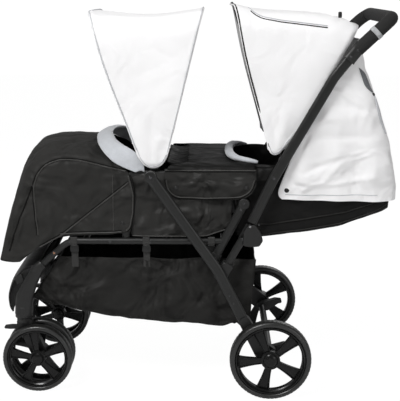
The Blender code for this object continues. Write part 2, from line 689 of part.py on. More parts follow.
# Soft parts
def tub(name, span, top, material):
    """A fabric seat tub: a floor and two sides, open above and at both ends."""
    inner = TUB_HALF - FABRIC
    section = [(-TUB_HALF, top), (-TUB_HALF, FLOOR_Z), (TUB_HALF, FLOOR_Z), (TUB_HALF, top),
               (inner, top), (inner, FLOOR_Z + FABRIC), (-inner, FLOOR_Z + FABRIC), (-inner, top)]
    made = plate(name, [section], -span[1], -span[0], material)
    made.data.transform(Matrix.Rotation(pi / 2, 4, "Z"))
    return made


def tubs():
    """The two seat tubs. The front one's sides run on past its floor to the rear one."""
    front = tub("front_tub", (FRONT_TUB[0], REAR_TUB[0] - SEAT_GAP), FRONT_TUB_TOP, BLACK_CLOTH)
    inner = TUB_HALF - FABRIC + 0.0002
    cut(front, block("recline_gap", (FRONT_TUB[1], -inner, FLOOR_Z - 0.01),
                     (REAR_TUB[0] + 0.01, inner, FLOOR_Z + 0.02), collection=CUTTERS))
    tub("rear_tub", REAR_TUB, REAR_TUB_TOP, BLACK_CLOTH)


def cushion(name, low, high, crown, channels, material, tilt=None):
    """A padded seat: crowned on top, drawn in at its sides, with sewn cross channels."""
    low, high = Vector(low), Vector(high)
    size, middle = high - low, (high + low) / 2
    bm = bmesh.new()
    bmesh.ops.create_cube(bm, size=1.0)
    for axis, cuts in ((0, 9), (1, 5), (2, 1)):
        edges = [e for e in bm.edges if abs((e.verts[0].co - e.verts[1].co)[axis]) > 1e-6]
        bmesh.ops.subdivide_edges(bm, edges=edges, cuts=cuts, use_grid_fill=True)
    for vert in bm.verts:
        u, v, w = (2 * c for c in vert.co)
        round_off = (1 - 0.05 * (1 - abs(v)) * abs(u)) * (1 - 0.02 * v * v)
        draw = 1 - 0.05 * (1 - u * u) * abs(v)
        rise = min(crown, crown * (1 - u * u) * (1 - v * v) + crown * 0.6 * sqrt(max(0.0, (1 - u ** 6) * (1 - v ** 6))))
        sewn = 0.0
        for at in channels:
            sewn = max(sewn, 1 - abs(u - at) / 0.09)
        height = w * size.z / 2 + (rise - crown - 0.35 * crown * max(0.0, sewn) if w > 0 else 0.0) * (w + 1) / 2
        swell = 0.985 + 0.015 * (1 - w * w)
        vert.co = (u * size.x / 2 * round_off * swell, v * size.y / 2 * draw * swell, height)
    if tilt:
        bm.transform(Matrix.Rotation(tilt, 4, "Y"))
    bm.transform(Matrix.Translation(middle))
    return from_bmesh(name, bm, material)


def seat_pads():
    base = FLOOR_Z + FABRIC + SEAT_GAP
    half = TUB_HALF - FABRIC - 0.004
    top = base + PAD_THICK
    cushion("front_seat_pad", (-0.370, -half, base), (-0.100, half, top), PAD_CROWN, (-0.35, 0.35), BLACK_CLOTH)
    cushion("rear_seat_pad", (-0.030, -half, base), (0.080, half, top), PAD_CROWN, (0.0,), BLACK_CLOTH)


LEG_COVER_STATIONS = (
    # hem point, control point of the side's curve, shoulder, crown point
    ((-0.474, 0.368), (-0.500, 0.366), (-0.518, 0.372), (-0.525, 0.376)),
    ((-0.448, 0.384), (-0.482, 0.410), (-0.501, 0.445), (-0.511, 0.460)),
    ((-0.414, 0.408), (-0.450, 0.460), (-0.468, 0.520), (-0.489, 0.560)),
    ((-0.382, 0.426), (-0.420, 0.510), (-0.436, 0.590), (-0.466, 0.638)),
    ((-0.345, 0.4305), (-0.385, 0.540), (-0.402, 0.630), (-0.438, 0.669)),
    ((-0.310, 0.4300), (-0.345, 0.550), (-0.362, 0.640), (-0.395, 0.680)),
    ((-0.265, 0.4300), (-0.300, 0.550), (-0.315, 0.637), (-0.340, 0.681)),
    ((-0.220, 0.4300), (-0.242, 0.550), (-0.262, 0.630), (-0.298, 0.680)),
    ((-0.178, 0.4300), (-0.162, 0.550), (-0.188, 0.611), (-0.258, 0.676)),
)
COLLAR_EDGES = (
    # foot, control point, shoulder, crown point
    ((-0.162, 0.606), (-0.166, 0.611), (-0.173, 0.616), (-0.250, 0.681)),
    ((-0.154, 0.606), (-0.158, 0.613), (-0.165, 0.619), (-0.243, 0.692)),
    ((-0.144, 0.605), (-0.147, 0.612), (-0.153, 0.619), (-0.230, 0.696)),
)


def arch_row(station, half, side_steps):
    """One arch, from the left foot up a curved side to its shoulder, over the crown and down to the right foot."""
    foot, control, shoulder, crown = (Vector(p) for p in station)
    row = []
    for k in range(side_steps + 1):
        share = k / side_steps
        point = foot * (1 - share) ** 2 + control * 2 * share * (1 - share) + shoulder * share ** 2
        row.append((point.x, -half, point.y))
    for turn in (radians(26), radians(48), radians(70)):
        point = shoulder.lerp(crown, sin(turn))
        row.append((point.x, -half * cos(turn), point.y))
    return row + [(crown.x, 0.0, crown.y)] + [(x, -y, z) for x, y, z in reversed(row)]


def front_cover():
    """The foot cover over the front seat, open below and at the rear."""
    skin("front_leg_cover", [arch_row(station, COVER_HALF, 4) for station in reversed(LEG_COVER_STATIONS)], FABRIC,
         BLACK_CLOTH)


def front_collar():
    """The fleece collar that stands up behind the cover's opening."""
    skin("front_collar", [arch_row(edge, COVER_HALF - 0.001, 1) for edge in reversed(COLLAR_EDGES)], 0.006, GREY_FLEECE)


FRONT_HOOD_FEET = ((-0.158, 0.668), (-0.136, 0.642), (-0.114, 0.650), (-0.096, 0.655), (-0.078, 0.664))
FRONT_HOOD_HEADS = ((-0.275, 1.014), (-0.205, 1.008), (-0.132, 1.004), (-0.058, 1.010), (0.018, 1.022))
REAR_HOOD_FEET = ((0.190, 0.672), (0.206, 0.665), (0.222, 0.664), (0.238, 0.672))
REAR_HOOD_HEADS = ((0.093, 1.040), (0.185, 1.025), (0.290, 1.010), (0.396, 0.992))


def front_hood():
    rows = []
    last = len(FRONT_HOOD_FEET) - 1
    for k, (foot, head) in enumerate(zip(FRONT_HOOD_FEET, FRONT_HOOD_HEADS)):
        rows.append(hoop_row(foot, head, HOOD_HALF, HOOD_CORNER, bulge=0.010 * (1 - k / last)))
    skin("front_canopy", rows[::-1], HOOD_FABRIC, WHITE_CLOTH)


def rear_hood():
    rows = [hoop_row(foot, head, HOOD_HALF, HOOD_CORNER, bulge=0.004)
            for foot, head in zip(REAR_HOOD_FEET, REAR_HOOD_HEADS)]
    skin("rear_canopy", rows[::-1], HOOD_FABRIC, WHITE_CLOTH)


PANEL_CORNER = 0.055
PANEL_FOLD = 0.007
BACK_PANEL_LEVELS = (
    # height, front edge X, back X
    (0.545, 0.226, 0.530),
    (0.600, 0.240, 0.526),
    (0.680, 0.262, 0.515),
    (0.760, 0.299, 0.492),
    (0.840, 0.340, 0.465),
    (0.905, 0.372, 0.440),
    (0.945, 0.394, 0.428),
    (0.972, 0.406, 0.424),
)


def back_panel():
    """The white panel that hangs from the rear canopy round the reclined seat."""
    half, corner = HOOD_HALF - 0.001, PANEL_CORNER
    rows = []
    for height, front, back in BACK_PANEL_LEVELS:
        edge = half if height > SLEEVE[1] - 0.06 else BAR_PLANE - BAR_THICK / 2 - SEAT_GAP
        reach = back - front
        bend = min(corner, reach * 0.8)
        hang = PANEL_FOLD * (1 - (height - BACK_PANEL_LEVELS[0][0]) / 0.45) if height < 0.9 else 0.0
        row = [(front, -edge, height)]
        row += [(front + (reach - bend) * k / 6, -half + hang * (k % 2), height) for k in range(1, 7)]
        row += [(back - bend * (1 - sin(pi / 6 * k)), -half + bend * (1 - cos(pi / 6 * k)), height)
                for k in range(1, 4)]
        row += [(back, y * (half - bend), height) for y in (-0.5, 0.0)]
        row += [(x, -y, z) for x, y, z in reversed(row[:-1])]
        rows.append(row)
    skin("rear_back_panel", rows, HOOD_FABRIC, WHITE_CLOTH)


BOW_RADIUS = 0.003


def bow(name, pivot, head, plane, corner, hub_layer):
    """A canopy bow: a bent rod with a hub at each foot."""
    foot = Vector(pivot) + unit(pivot, head) * 0.004
    row = hoop_row(tuple(foot), head, plane, corner, side_steps=1, arc_steps=4, top_steps=1)
    made = tube(name, row, 2 * BOW_RADIUS, STEEL, sides=1)
    middle, half = sum(hub_layer) / 2, (hub_layer[1] - hub_layer[0]) / 2
    hubs = [cross_rod("hub", pivot, sign * middle, half, 0.012) for sign in SIDES.values()]
    return fuse(made, *hubs)


def bows():
    outer = HOOD_HALF - HOOD_FABRIC - SEAT_GAP - BOW_RADIUS
    inner_hub = (0.1660, 0.1727)
    outer_hub = (inner_hub[1] + SEAT_GAP, HOOD_HALF - HOOD_FABRIC - SEAT_GAP)
    bar_hub = (outer_hub[0], BAR_PLANE - BAR_THICK / 2 - SEAT_GAP)
    corner = HOOD_CORNER - (HOOD_HALF - outer)
    top = (FRONT_HOOD_HEADS[0][0] + 0.010, FRONT_HOOD_HEADS[0][1] - 0.011)
    bow("front_canopy_front_bow", FRONT_HOOD_PIVOT, top, outer, corner, outer_hub)
    top = (FRONT_HOOD_HEADS[-1][0] - 0.010, FRONT_HOOD_HEADS[-1][1] - 0.011)
    bow("front_canopy_rear_bow", FRONT_HOOD_PIVOT, top, sum(inner_hub) / 2, corner - 0.009, inner_hub)
    top = (REAR_HOOD_HEADS[0][0] + 0.010, REAR_HOOD_HEADS[0][1] - 0.011)
    bow("rear_canopy_bow", REAR_HOOD_PIVOT, top, outer, corner, bar_hub)


SHELL_STATIONS = (
    # X, bottom Z, top Z
    (RECLINE_TUBE[0] + RECLINE_RADIUS + SEAT_GAP, 0.424, 0.560),
    (0.180, 0.428, 0.575),
    (0.279, 0.452, 0.585),
    (0.387, 0.468, 0.592),
    (0.470, 0.496, 0.598),
    (0.503, 0.520, 0.600),
)


def rear_shell():
    """The fabric shell round the reclined rear backrest, open above and in front."""
    rows = []
    for x, low, high in SHELL_STATIONS:
        half = SHELL_HALF - (0.018 if x > 0.5 else 0.0)
        side = [(x, -half, high), (x, -half, (high + low) / 2), (x, -half, low + 0.025), (x, -half + 0.020, low)]
        rows.append(side + [(x, 0.0, low - 0.003)] + [(a, -b, c) for a, b, c in reversed(side)])
    wall_x = SHELL_STATIONS[-1][0] + 0.003
    low, high = SHELL_STATIONS[-1][1:]
    inner = SHELL_HALF - 0.05
    side = [(wall_x, -inner, z) for z in (high - 0.004, high - 0.02, low + 0.045, low + 0.03)]
    rows.append(side + [(wall_x, 0.0, low + 0.03)] + [(a, -b, c) for a, b, c in reversed(side)])
    skin("rear_shell", rows, FABRIC, BLACK_CLOTH)


def backrests():
    """The rear backrest's board and pad, and the front backrest."""
    pitch = atan2(BACKREST_HEAD[1] - RECLINE_TUBE[1], BACKREST_HEAD[0] - RECLINE_TUBE[0])

    def board(name, pivot, length, angle, thick, tube_radius, material):
        bm = bmesh.new()
        bmesh.ops.create_cube(bm, size=1.0)
        bm.transform(Matrix.Translation((0.5, 0.0, 0.0)))
        bm.transform(Matrix.Diagonal((length, 2 * BACKREST_HALF, thick, 1.0)))
        made = from_bmesh(name, bm, material)
        bevel = made.modifiers.new("Edges", "BEVEL")
        bevel.width, bevel.segments = 0.0025, 1
        barrel = cross_rod("barrel", (0.0, 0.0), 0.0, BACKREST_HALF * 0.8, tube_radius + 0.005, sides=16)
        bore = cross_rod("barrel_bore", (0.0, 0.0), 0.0, BACKREST_HALF + 0.05, tube_radius + BORE_GAP, sides=16,
                         collection=CUTTERS)
        place = Matrix.Translation((pivot[0], 0.0, pivot[1])) @ Matrix.Rotation(-angle, 4, "Y")
        cut(fuse(made, barrel), bore)
        for piece in (made, barrel, bore):
            piece.matrix_world = place
        return place

    place = board("rear_backrest_board", RECLINE_TUBE, 0.385, pitch, 0.008, RECLINE_RADIUS, PLASTIC)
    pad = cushion("rear_backrest_pad", (0.020, -BACKREST_HALF, 0.0043), (0.385, BACKREST_HALF, 0.034), 0.006,
                  (-0.4, 0.0, 0.4), BLACK_CLOTH)
    pad.matrix_world = place
    board("front_backrest", FRONT_RECLINE, 0.300, radians(90), 0.016, CROSS_TUBE / 2, BLACK_CLOTH)


REAR_COVER_TOP = 0.6255
REAR_COVER_STATIONS = (
    # X, height of the flap's hem
    (-0.083, 0.580), (-0.070, 0.553), (-0.050, 0.546), (0.040, 0.546), (0.125, 0.546), (0.146, 0.553), (0.158, 0.580),
)


def rear_cover():
    """The flat cover over the rear child's knees, with a flap down each side and openings before and behind."""
    half = RAIL_PLANE + RAIL_THICK / 2 + SEAT_GAP + FABRIC
    shoulder = REAR_COVER_TOP - 0.0095
    rows = []
    for x, hem in reversed(REAR_COVER_STATIONS):
        side = [(x, -half, hem), (x, -half, (hem + shoulder) / 2), (x, -half, shoulder),
                (x, -half + 0.003, REAR_COVER_TOP - 0.002), (x, -half + 0.012, REAR_COVER_TOP)]
        rows.append(side + [(x, 0.0, REAR_COVER_TOP)] + [(a, -b, c) for a, b, c in reversed(side)])
    cover = skin("rear_cover", rows, FABRIC, BLACK_CLOTH, smooth=False)
    low, high = REAR_COVER_TOP - 0.02, REAR_COVER_TOP + 0.02
    knees = block("knee_room", (-0.2, -0.152, low), (-0.026, 0.152, high), collection=CUTTERS)
    seat = plate("seat_room", [round_outline([(0.3, 0.150), (0.136, 0.150), (0.102, 0.105), (0.102, -0.105),
                                              (0.136, -0.150), (0.3, -0.150)], 0.02)], low, high, collection=CUTTERS)
    seat.data.transform(Matrix.Rotation(pi / 2, 4, "X"))
    cut(cover, knees, seat)


def rear_collar():
    """The fleece roll round the opening of the rear cover."""
    radius = 0.0105
    height = REAR_COVER_TOP + radius + SEAT_GAP
    corners = [(0.160, -0.1605), (0.124, -0.1560), (0.094, -0.105), (0.090, 0.0), (0.094, 0.105), (0.124, 0.1560),
               (0.160, 0.1605)]
    tube("rear_collar", bent([(x, y, height) for x, y in corners], 0.06, 3), 2 * radius, GREY_FLEECE, sides=2)


STRAP_PLACES = (-0.330, -0.135, 0.040)
STRAP_HALF = 0.012
BASKET_FABRIC = 0.004
BASKET_STATIONS = (
    # top X, top Z, bottom X, bottom Z
    (-0.358, 0.374, -0.424, 0.246),
    (-0.300, 0.376, -0.340, 0.214),
    (-0.200, 0.377, -0.220, 0.200),
    (-0.050, 0.377, -0.050, 0.192),
    (0.060, 0.376, 0.060, 0.186),
    (0.120, 0.374, 0.118, 0.186),
)


def basket():
    """The fabric basket: a floor and four walls, open above."""
    rows = []
    half = BASKET_HALF
    for top_x, top_z, low_x, low_z in BASKET_STATIONS:
        side = [(top_x, -half, top_z), (low_x, -half + 0.004, low_z + 0.012), (low_x, -half + 0.018, low_z)]
        rows.append(side + [(low_x, 0.0, low_z - 0.003)] + [(a, -b, c) for a, b, c in reversed(side)])
    made = skin("basket", rows, BASKET_FABRIC, BLACK_CLOTH)
    ends = []
    half -= 0.001
    for (top_x, top_z, low_x, low_z), way in ((BASKET_STATIONS[0], 1), (BASKET_STATIONS[-1], -1)):
        rows = [[(low_x + way * 0.002, y, low_z) for y in (-half + 0.016, 0.0, half - 0.016)],
                [(top_x + way * 0.002, y, top_z - 0.002) for y in (-half, 0.0, half)]][::way]
        ends.append(skin("basket_end", rows, BASKET_FABRIC, BLACK_CLOTH, smooth=False))
    straps = []
    inner, outer = BASKET_HALF - 0.002, UPRIGHT_PLANE - SIDE_TUBE / 2 - SEAT_GAP
    for sign in SIDES.values():
        low, high = sorted((sign * inner, sign * outer))
        straps += [block("strap", (x - STRAP_HALF, low, 0.345), (x + STRAP_HALF, high, LOWER_RAIL_Z + 0.004))
                   for x in STRAP_PLACES]
    fuse(made, *ends, *straps)


def wrist_strap():
    """A ribbon loop that hangs round the foam on the left of the handle."""
    inner, half = HANDLE_RADIUS + FOAM + SEAT_GAP, 0.006
    outer = inner + 0.0015
    ribbon = turned("wrist_strap", [(outer, half), (outer, -half), (inner, -half), (inner, half)], 16, GREY_FLEECE)
    rise = unit(handle_start(), HANDLE_CREST)
    at = handle_start() + rise * 0.066
    turn = Vector((0, 0, 1)).rotation_difference(Vector((rise.x, 0.0, rise.y)))
    ribbon.matrix_world = Matrix.Translation((at.x, -BAR_PLANE, at.y)) @ turn.to_matrix().to_4x4()


wheels()
rear_legs()
axle_brackets()
rear_axle()
brake_pedals()
push_bar()
handle()
knee_stubs()
side_frames()
rear_uprights()
upper_rails()
cross_tubes()
lower_legs()
front_footrest()
casters()
tubs()
seat_pads()
front_cover()
front_collar()
front_hood()
rear_hood()
back_panel()
bows()
rear_shell()
backrests()
rear_cover()
rear_collar()
basket()
wrist_strap()
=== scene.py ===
"""Dressed tandem stroller: smooth tubes, moulded wheels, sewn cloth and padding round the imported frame.

The stroller faces -X, its left side faces -Y, and everything is in metres in the frame's own axes.
"""
import json
from math import atan2, cos, pi, radians, sin, sqrt, tan

import bpy
import bmesh
from mathutils import Matrix, Vector, noise
from mathutils.bvhtree import BVHTree


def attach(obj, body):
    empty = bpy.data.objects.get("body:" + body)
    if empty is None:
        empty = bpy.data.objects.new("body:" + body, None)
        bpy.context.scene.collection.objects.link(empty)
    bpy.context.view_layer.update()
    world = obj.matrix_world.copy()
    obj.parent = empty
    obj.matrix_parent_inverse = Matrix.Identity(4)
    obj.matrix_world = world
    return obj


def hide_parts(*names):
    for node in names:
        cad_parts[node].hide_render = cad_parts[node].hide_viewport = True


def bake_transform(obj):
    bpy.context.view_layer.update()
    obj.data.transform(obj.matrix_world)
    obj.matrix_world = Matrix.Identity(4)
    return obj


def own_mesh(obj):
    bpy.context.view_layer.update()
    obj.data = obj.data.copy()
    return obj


bl_info = {
    "name": "Tandem stroller",
    "version": (1, 0, 0),
    "blender": (4, 5, 0),
    "location": "View3D > Sidebar > Stroller",
    "description": "Builds the dressed stroller round its packed frame",
    "category": "Add Mesh",
}

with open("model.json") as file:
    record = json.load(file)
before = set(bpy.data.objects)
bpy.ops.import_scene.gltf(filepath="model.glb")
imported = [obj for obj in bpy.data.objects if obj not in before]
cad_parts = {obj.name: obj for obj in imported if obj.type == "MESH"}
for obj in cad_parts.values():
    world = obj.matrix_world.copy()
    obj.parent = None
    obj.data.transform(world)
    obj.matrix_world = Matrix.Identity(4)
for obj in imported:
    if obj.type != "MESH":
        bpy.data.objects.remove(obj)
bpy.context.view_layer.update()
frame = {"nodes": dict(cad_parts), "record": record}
SIDES = {"left": -1, "right": 1}

# Side-view points of the frame, as (X, Z)
LEG_PIVOT = (-0.119, 0.604)
LEG_BEND = (0.058, 0.35)
LEG_END = (0.14, 0.185)
BAR_PIVOT = (0.204, 0.598)
KNEE = (0.146, 0.474)
STUB_FOOT = (0.07, 0.336)
UPRIGHT_TOP = (0.127, 0.524)
UPRIGHT_FOOT = (0.045, 0.365)
RAIL_REAR = (0.07, 0.42)
RAIL_BEND = (-0.345, 0.42)
COLLAR = (-0.43, 0.343)
BAR_BEND = (0.354, 0.862)
SLEEVE = (0.402, 0.922)
HANDLE_CREST = (0.481, 0.997)
HANDLE_BAR = (0.5, 1.0105)
REAR_AXLE = (0.2, 0.11)
FRONT_AXLE = (-0.435, 0.095)
SWIVEL_X = -0.474
RECLINE_TUBE = (0.1005, 0.4725)
BACKREST_HEAD = (0.48, 0.555)

# Planes of the tubes, each a distance from the middle
LEG_PLANE, BAR_PLANE, UPRIGHT_PLANE, CASTER_PLANE, REAR_PLANE = 0.222, 0.2, 0.18, 0.18, 0.25
TWIN_HALF = 0.028
HOOD_HALF, HOOD_CORNER = 0.186, 0.06
COVER_HALF = 0.186

# Sections of the tubes, each a height and a thickness
LEG_SECTION, RAIL_SECTION, BAR_SECTION = (0.029, 0.014), (0.018, 0.018), (0.0265, 0.018)
STUB_SECTION, TONGUE_SECTION, UPRIGHT_SECTION = (0.021, 0.018), (0.019, 0.0045), (0.024, 0.016)
CROSS_TUBE = (0.0728, 0.42)
# Outer faces of the tubes
BAR_FACE, LEG_FACE = BAR_PLANE + 0.009, LEG_PLANE + 0.007
UPRIGHT_FACE, RAIL_FACE = UPRIGHT_PLANE + 0.008, UPRIGHT_PLANE + 0.0095
# Radius that stands for the axis in a turned profile
ON_AXIS = 0.0001
# How far below a piping the dark line lies that paints the shade of its stitched groove
PIPING_SHADE_DROP = 0.0034


# User values
def colour_prop(name, words, default):
    return bpy.props.FloatVectorProperty(name=name, description=words, subtype="COLOR", size=3, default=default,
                                         min=0.0, max=1.0)


def length_prop(name, words, default):
    return bpy.props.FloatProperty(name=name, description=words, default=default, min=0.0, unit="LENGTH")


class StrollerColours(bpy.types.PropertyGroup):
    """Colours of the stroller's finishes."""
    black_cloth: colour_prop("Black cloth", "Woven black seat cloth", (0.024, 0.0235, 0.0222))
    white_cloth: colour_prop("White cloth", "Woven white canopy cloth", (0.85, 0.845, 0.85))
    fleece: colour_prop("Fleece", "Grey fleece of the collars", (0.53, 0.55, 0.58))
    tube_paint: colour_prop("Tube paint", "Paint of the frame's tubes", (0.013, 0.0132, 0.0128))
    plastic: colour_prop("Plastic", "Moulded plastic of joints and legs", (0.011, 0.011, 0.0108))
    wheel: colour_prop("Wheel plastic", "Glossy plastic of the rims", (0.0042, 0.0042, 0.0042))
    tyre: colour_prop("Tyre", "Tyres", (0.012, 0.012, 0.0116))
    metal: colour_prop("Metal", "Rivets, axles and bows", (0.34, 0.34, 0.35))
    ribbon: colour_prop("Ribbon", "Wrist ribbon", (0.42, 0.43, 0.44))


class StrollerSizes(bpy.types.PropertyGroup):
    """Sizes of the details that are added to the frame."""
    piping: length_prop("Piping", "Radius of the sewn piping", 0.0018)
    seam: length_prop("Seam", "Radius of a plain seam line", 0.001)
    rivet: length_prop("Rivet", "Radius of a rivet's head", 0.0036)
    cloth: length_prop("Canopy cloth", "Thickness of the canopies' padded cloth", 0.003)
    cover: length_prop("Cover cloth", "Thickness of the black covers", 0.0022)
    voxel: length_prop("Pad voxel", "Size of the grid that a pad is simulated on", 0.006)
    puff: length_prop("Pad puff", "How far a pad's skin may swell", 0.007)


def colours():
    return bpy.context.scene.stroller_colours


def sizes():
    return bpy.context.scene.stroller_sizes


# Finishes
class Shader:
    """A material's node tree, with short calls for the nodes that the finishes share."""

    def __init__(self, name, colour, roughness, metallic=0.0):
        self.material = bpy.data.materials.new(name)
        self.material.use_nodes = True
        self.tree = self.material.node_tree
        self.base = self.tree.nodes["Principled BSDF"]
        self.base.inputs["Base Color"].default_value = (*colour, 1.0)
        self.base.inputs["Roughness"].default_value = roughness
        self.base.inputs["Metallic"].default_value = metallic
        self.colour = colour
        self.place = self.tree.nodes.new("ShaderNodeTexCoord").outputs["Object"]
        self.height = None

    def node(self, kind, **settings):
        made = self.tree.nodes.new(kind)
        for key, value in settings.items():
            if key in made.inputs:
                made.inputs[key].default_value = value
            else:
                setattr(made, key, value)
        return made

    def link(self, out, into):
        self.tree.links.new(out, into)

    def noise(self, scale, detail=3.0, roughness=0.55):
        made = self.node("ShaderNodeTexNoise", Scale=scale, Detail=detail, Roughness=roughness)
        self.link(self.place, made.inputs["Vector"])
        return made.outputs["Fac"]

    def bands(self, scale, direction):
        made = self.node("ShaderNodeTexWave", wave_type="BANDS", bands_direction=direction, wave_profile="SIN",
                         Scale=scale)
        self.link(self.place, made.inputs["Vector"])
        return made.outputs["Fac"]

    def math(self, operation, first, second):
        made = self.node("ShaderNodeMath", operation=operation)
        for slot, value in zip(made.inputs, (first, second)):
            if isinstance(value, (int, float)):
                slot.default_value = value
            else:
                self.link(value, slot)
        return made.outputs[0]

    def spread(self, value, low, high):
        """A value between 0 and 1 mapped to low and high."""
        made = self.node("ShaderNodeMapRange", **{"From Min": 0.25, "From Max": 0.75, "To Min": low, "To Max": high})
        self.link(value, made.inputs["Value"])
        return made.outputs["Result"]

    def tint(self, value, darker, lighter):
        """Vary the base colour between two multiples of it."""
        made = self.node("ShaderNodeValToRGB")
        for element, at, share in zip(made.color_ramp.elements, (0.25, 0.75), (darker, lighter)):
            element.position = at
            element.color = (*(min(1.0, c * share) for c in self.colour), 1.0)
        self.link(value, made.inputs["Fac"])
        self.link(made.outputs["Color"], self.base.inputs["Base Color"])

    def roughen(self, value, low, high):
        self.link(self.spread(value, low, high), self.base.inputs["Roughness"])

    def bump(self, value, strength, distance):
        made = self.node("ShaderNodeBump", Strength=strength, Distance=distance)
        self.link(value, made.inputs["Height"])
        if self.height:
            self.link(self.height, made.inputs["Normal"])
        self.height = made.outputs["Normal"]
        self.link(self.height, self.base.inputs["Normal"])

    def folds(self, soft, sharp, slope, spacing):
        """Soft hollows and long pulled folds.

        soft and sharp are their depths, slope turns the pulls in the side view, and spacing is the distance
        from one to the next."""
        mapping = self.node("ShaderNodeMapping", Rotation=(0.0, radians(slope), 0.0))
        self.link(self.place, mapping.inputs["Vector"])
        hollows = self.node("ShaderNodeTexNoise", Scale=9.0, Detail=2.0, Distortion=0.8)
        self.link(mapping.outputs["Vector"], hollows.inputs["Vector"])
        self.bump(hollows.outputs["Fac"], 1.0, soft)
        pulls = self.node("ShaderNodeTexWave", wave_type="BANDS", bands_direction="Z", wave_profile="SIN",
                          **{"Scale": 0.314 / spacing, "Distortion": 7.0, "Detail": 2.0, "Detail Scale": 1.1})
        self.link(mapping.outputs["Vector"], pulls.inputs["Vector"])
        fade = self.math("MULTIPLY", pulls.outputs["Fac"], self.spread(self.noise(6.0, 1.0), 0.0, 1.0))
        self.bump(fade, 1.0, sharp)

    def shine(self, level):
        """How strongly the surface mirrors at a right angle; 0.5 is plain plastic."""
        self.base.inputs["Specular IOR Level"].default_value = level

    def sheen(self, weight, roughness):
        self.base.inputs["Sheen Weight"].default_value = weight
        self.base.inputs["Sheen Roughness"].default_value = roughness


def woven(name, colour, roughness, pitch=0.0009, sheen=0.0, tint=(0.85, 1.15), bump=0.2, shine=0.3, painted_glow=0.0,
          folds=None):
    """Plain weave: crossed threads at their pitch, soft patches of wear, and a faint sheen.

    The glow is painted light: an emission in the cloth's own colour that stands for the daylight coming through thin
    pale cloth."""
    made = Shader(name, colour, roughness)
    made.shine(shine)
    threads = made.math("MULTIPLY", made.bands(pi / pitch, "X"), made.bands(pi / pitch, "Z"))
    patches = made.noise(14.0, 4.0)
    made.tint(made.math("ADD", made.math("MULTIPLY", patches, 0.75), made.math("MULTIPLY", threads, 0.25)), *tint)
    made.roughen(made.noise(45.0), roughness - 0.06, roughness + 0.06)
    if folds:
        made.folds(*folds)
    made.bump(threads, bump, pitch * 0.35)
    made.bump(made.noise(120.0, 2.0), bump * 0.5, 0.0006)
    made.sheen(sheen, 0.45)
    # Painted light: the cloth emits a share of its own colour
    if painted_glow:
        made.base.inputs["Emission Color"].default_value = (*colour, 1.0)
        made.base.inputs["Emission Strength"].default_value = painted_glow
    return made.material


def fleece(name, colour):
    made = Shader(name, colour, 0.95)
    nap = made.noise(900.0, 3.0, 0.7)
    patches = made.math("MULTIPLY", made.noise(40.0), 0.5)
    made.tint(made.math("ADD", made.math("MULTIPLY", nap, 0.5), patches), 0.82, 1.12)
    made.bump(nap, 0.6, 0.0012)
    made.bump(made.noise(160.0, 2.0), 0.4, 0.002)
    made.sheen(0.5, 0.6)
    return made.material


def painted(name, colour):
    """Powder paint: a fine orange peel, with worn patches a little smoother."""
    made = Shader(name, colour, 0.36)
    made.shine(0.35)
    made.tint(made.noise(22.0, 4.0), 0.88, 1.18)
    made.roughen(made.noise(60.0, 3.0), 0.28, 0.42)
    made.bump(made.noise(1400.0, 2.0), 0.12, 0.0002)
    return made.material


def moulded(name, colour, roughness, grain=1100.0, bump=0.2, shine=0.4):
    made = Shader(name, colour, roughness)
    made.shine(shine)
    made.tint(made.noise(30.0, 3.0), 0.88, 1.2)
    made.roughen(made.noise(70.0, 4.0), roughness - 0.07, roughness + 0.09)
    made.bump(made.noise(grain, 2.0), bump, 0.00025)
    return made.material


def foam(name, colour):
    made = Shader(name, colour, 0.9)
    cells = made.noise(1500.0, 2.0, 0.7)
    made.tint(cells, 0.7, 1.35)
    made.bump(cells, 0.5, 0.0006)
    return made.material


def webbing(name, colour):
    made = Shader(name, colour, 0.7)
    ribs = made.bands(pi / 0.0016, "Z")
    patches = made.math("MULTIPLY", made.noise(60.0), 0.6)
    made.tint(made.math("ADD", made.math("MULTIPLY", ribs, 0.4), patches), 0.75, 1.3)
    made.bump(ribs, 0.6, 0.0005)
    made.sheen(0.2, 0.4)
    return made.material


def metal(name, colour):
    made = Shader(name, colour, 0.3, 1.0)
    made.roughen(made.noise(300.0, 3.0), 0.2, 0.42)
    made.tint(made.noise(90.0, 3.0), 0.86, 1.05)
    made.bump(made.noise(700.0, 2.0), 0.08, 0.0002)
    return made.material


def mesh_fabric(name, colour):
    """Open net: dark holes between pale threads."""
    made = Shader(name, colour, 0.8)
    net = made.math("MULTIPLY", made.bands(pi / 0.0028, "X"), made.bands(pi / 0.0028, "Z"))
    made.tint(net, 0.55, 1.1)
    made.bump(net, 0.8, 0.0008)
    return made.material
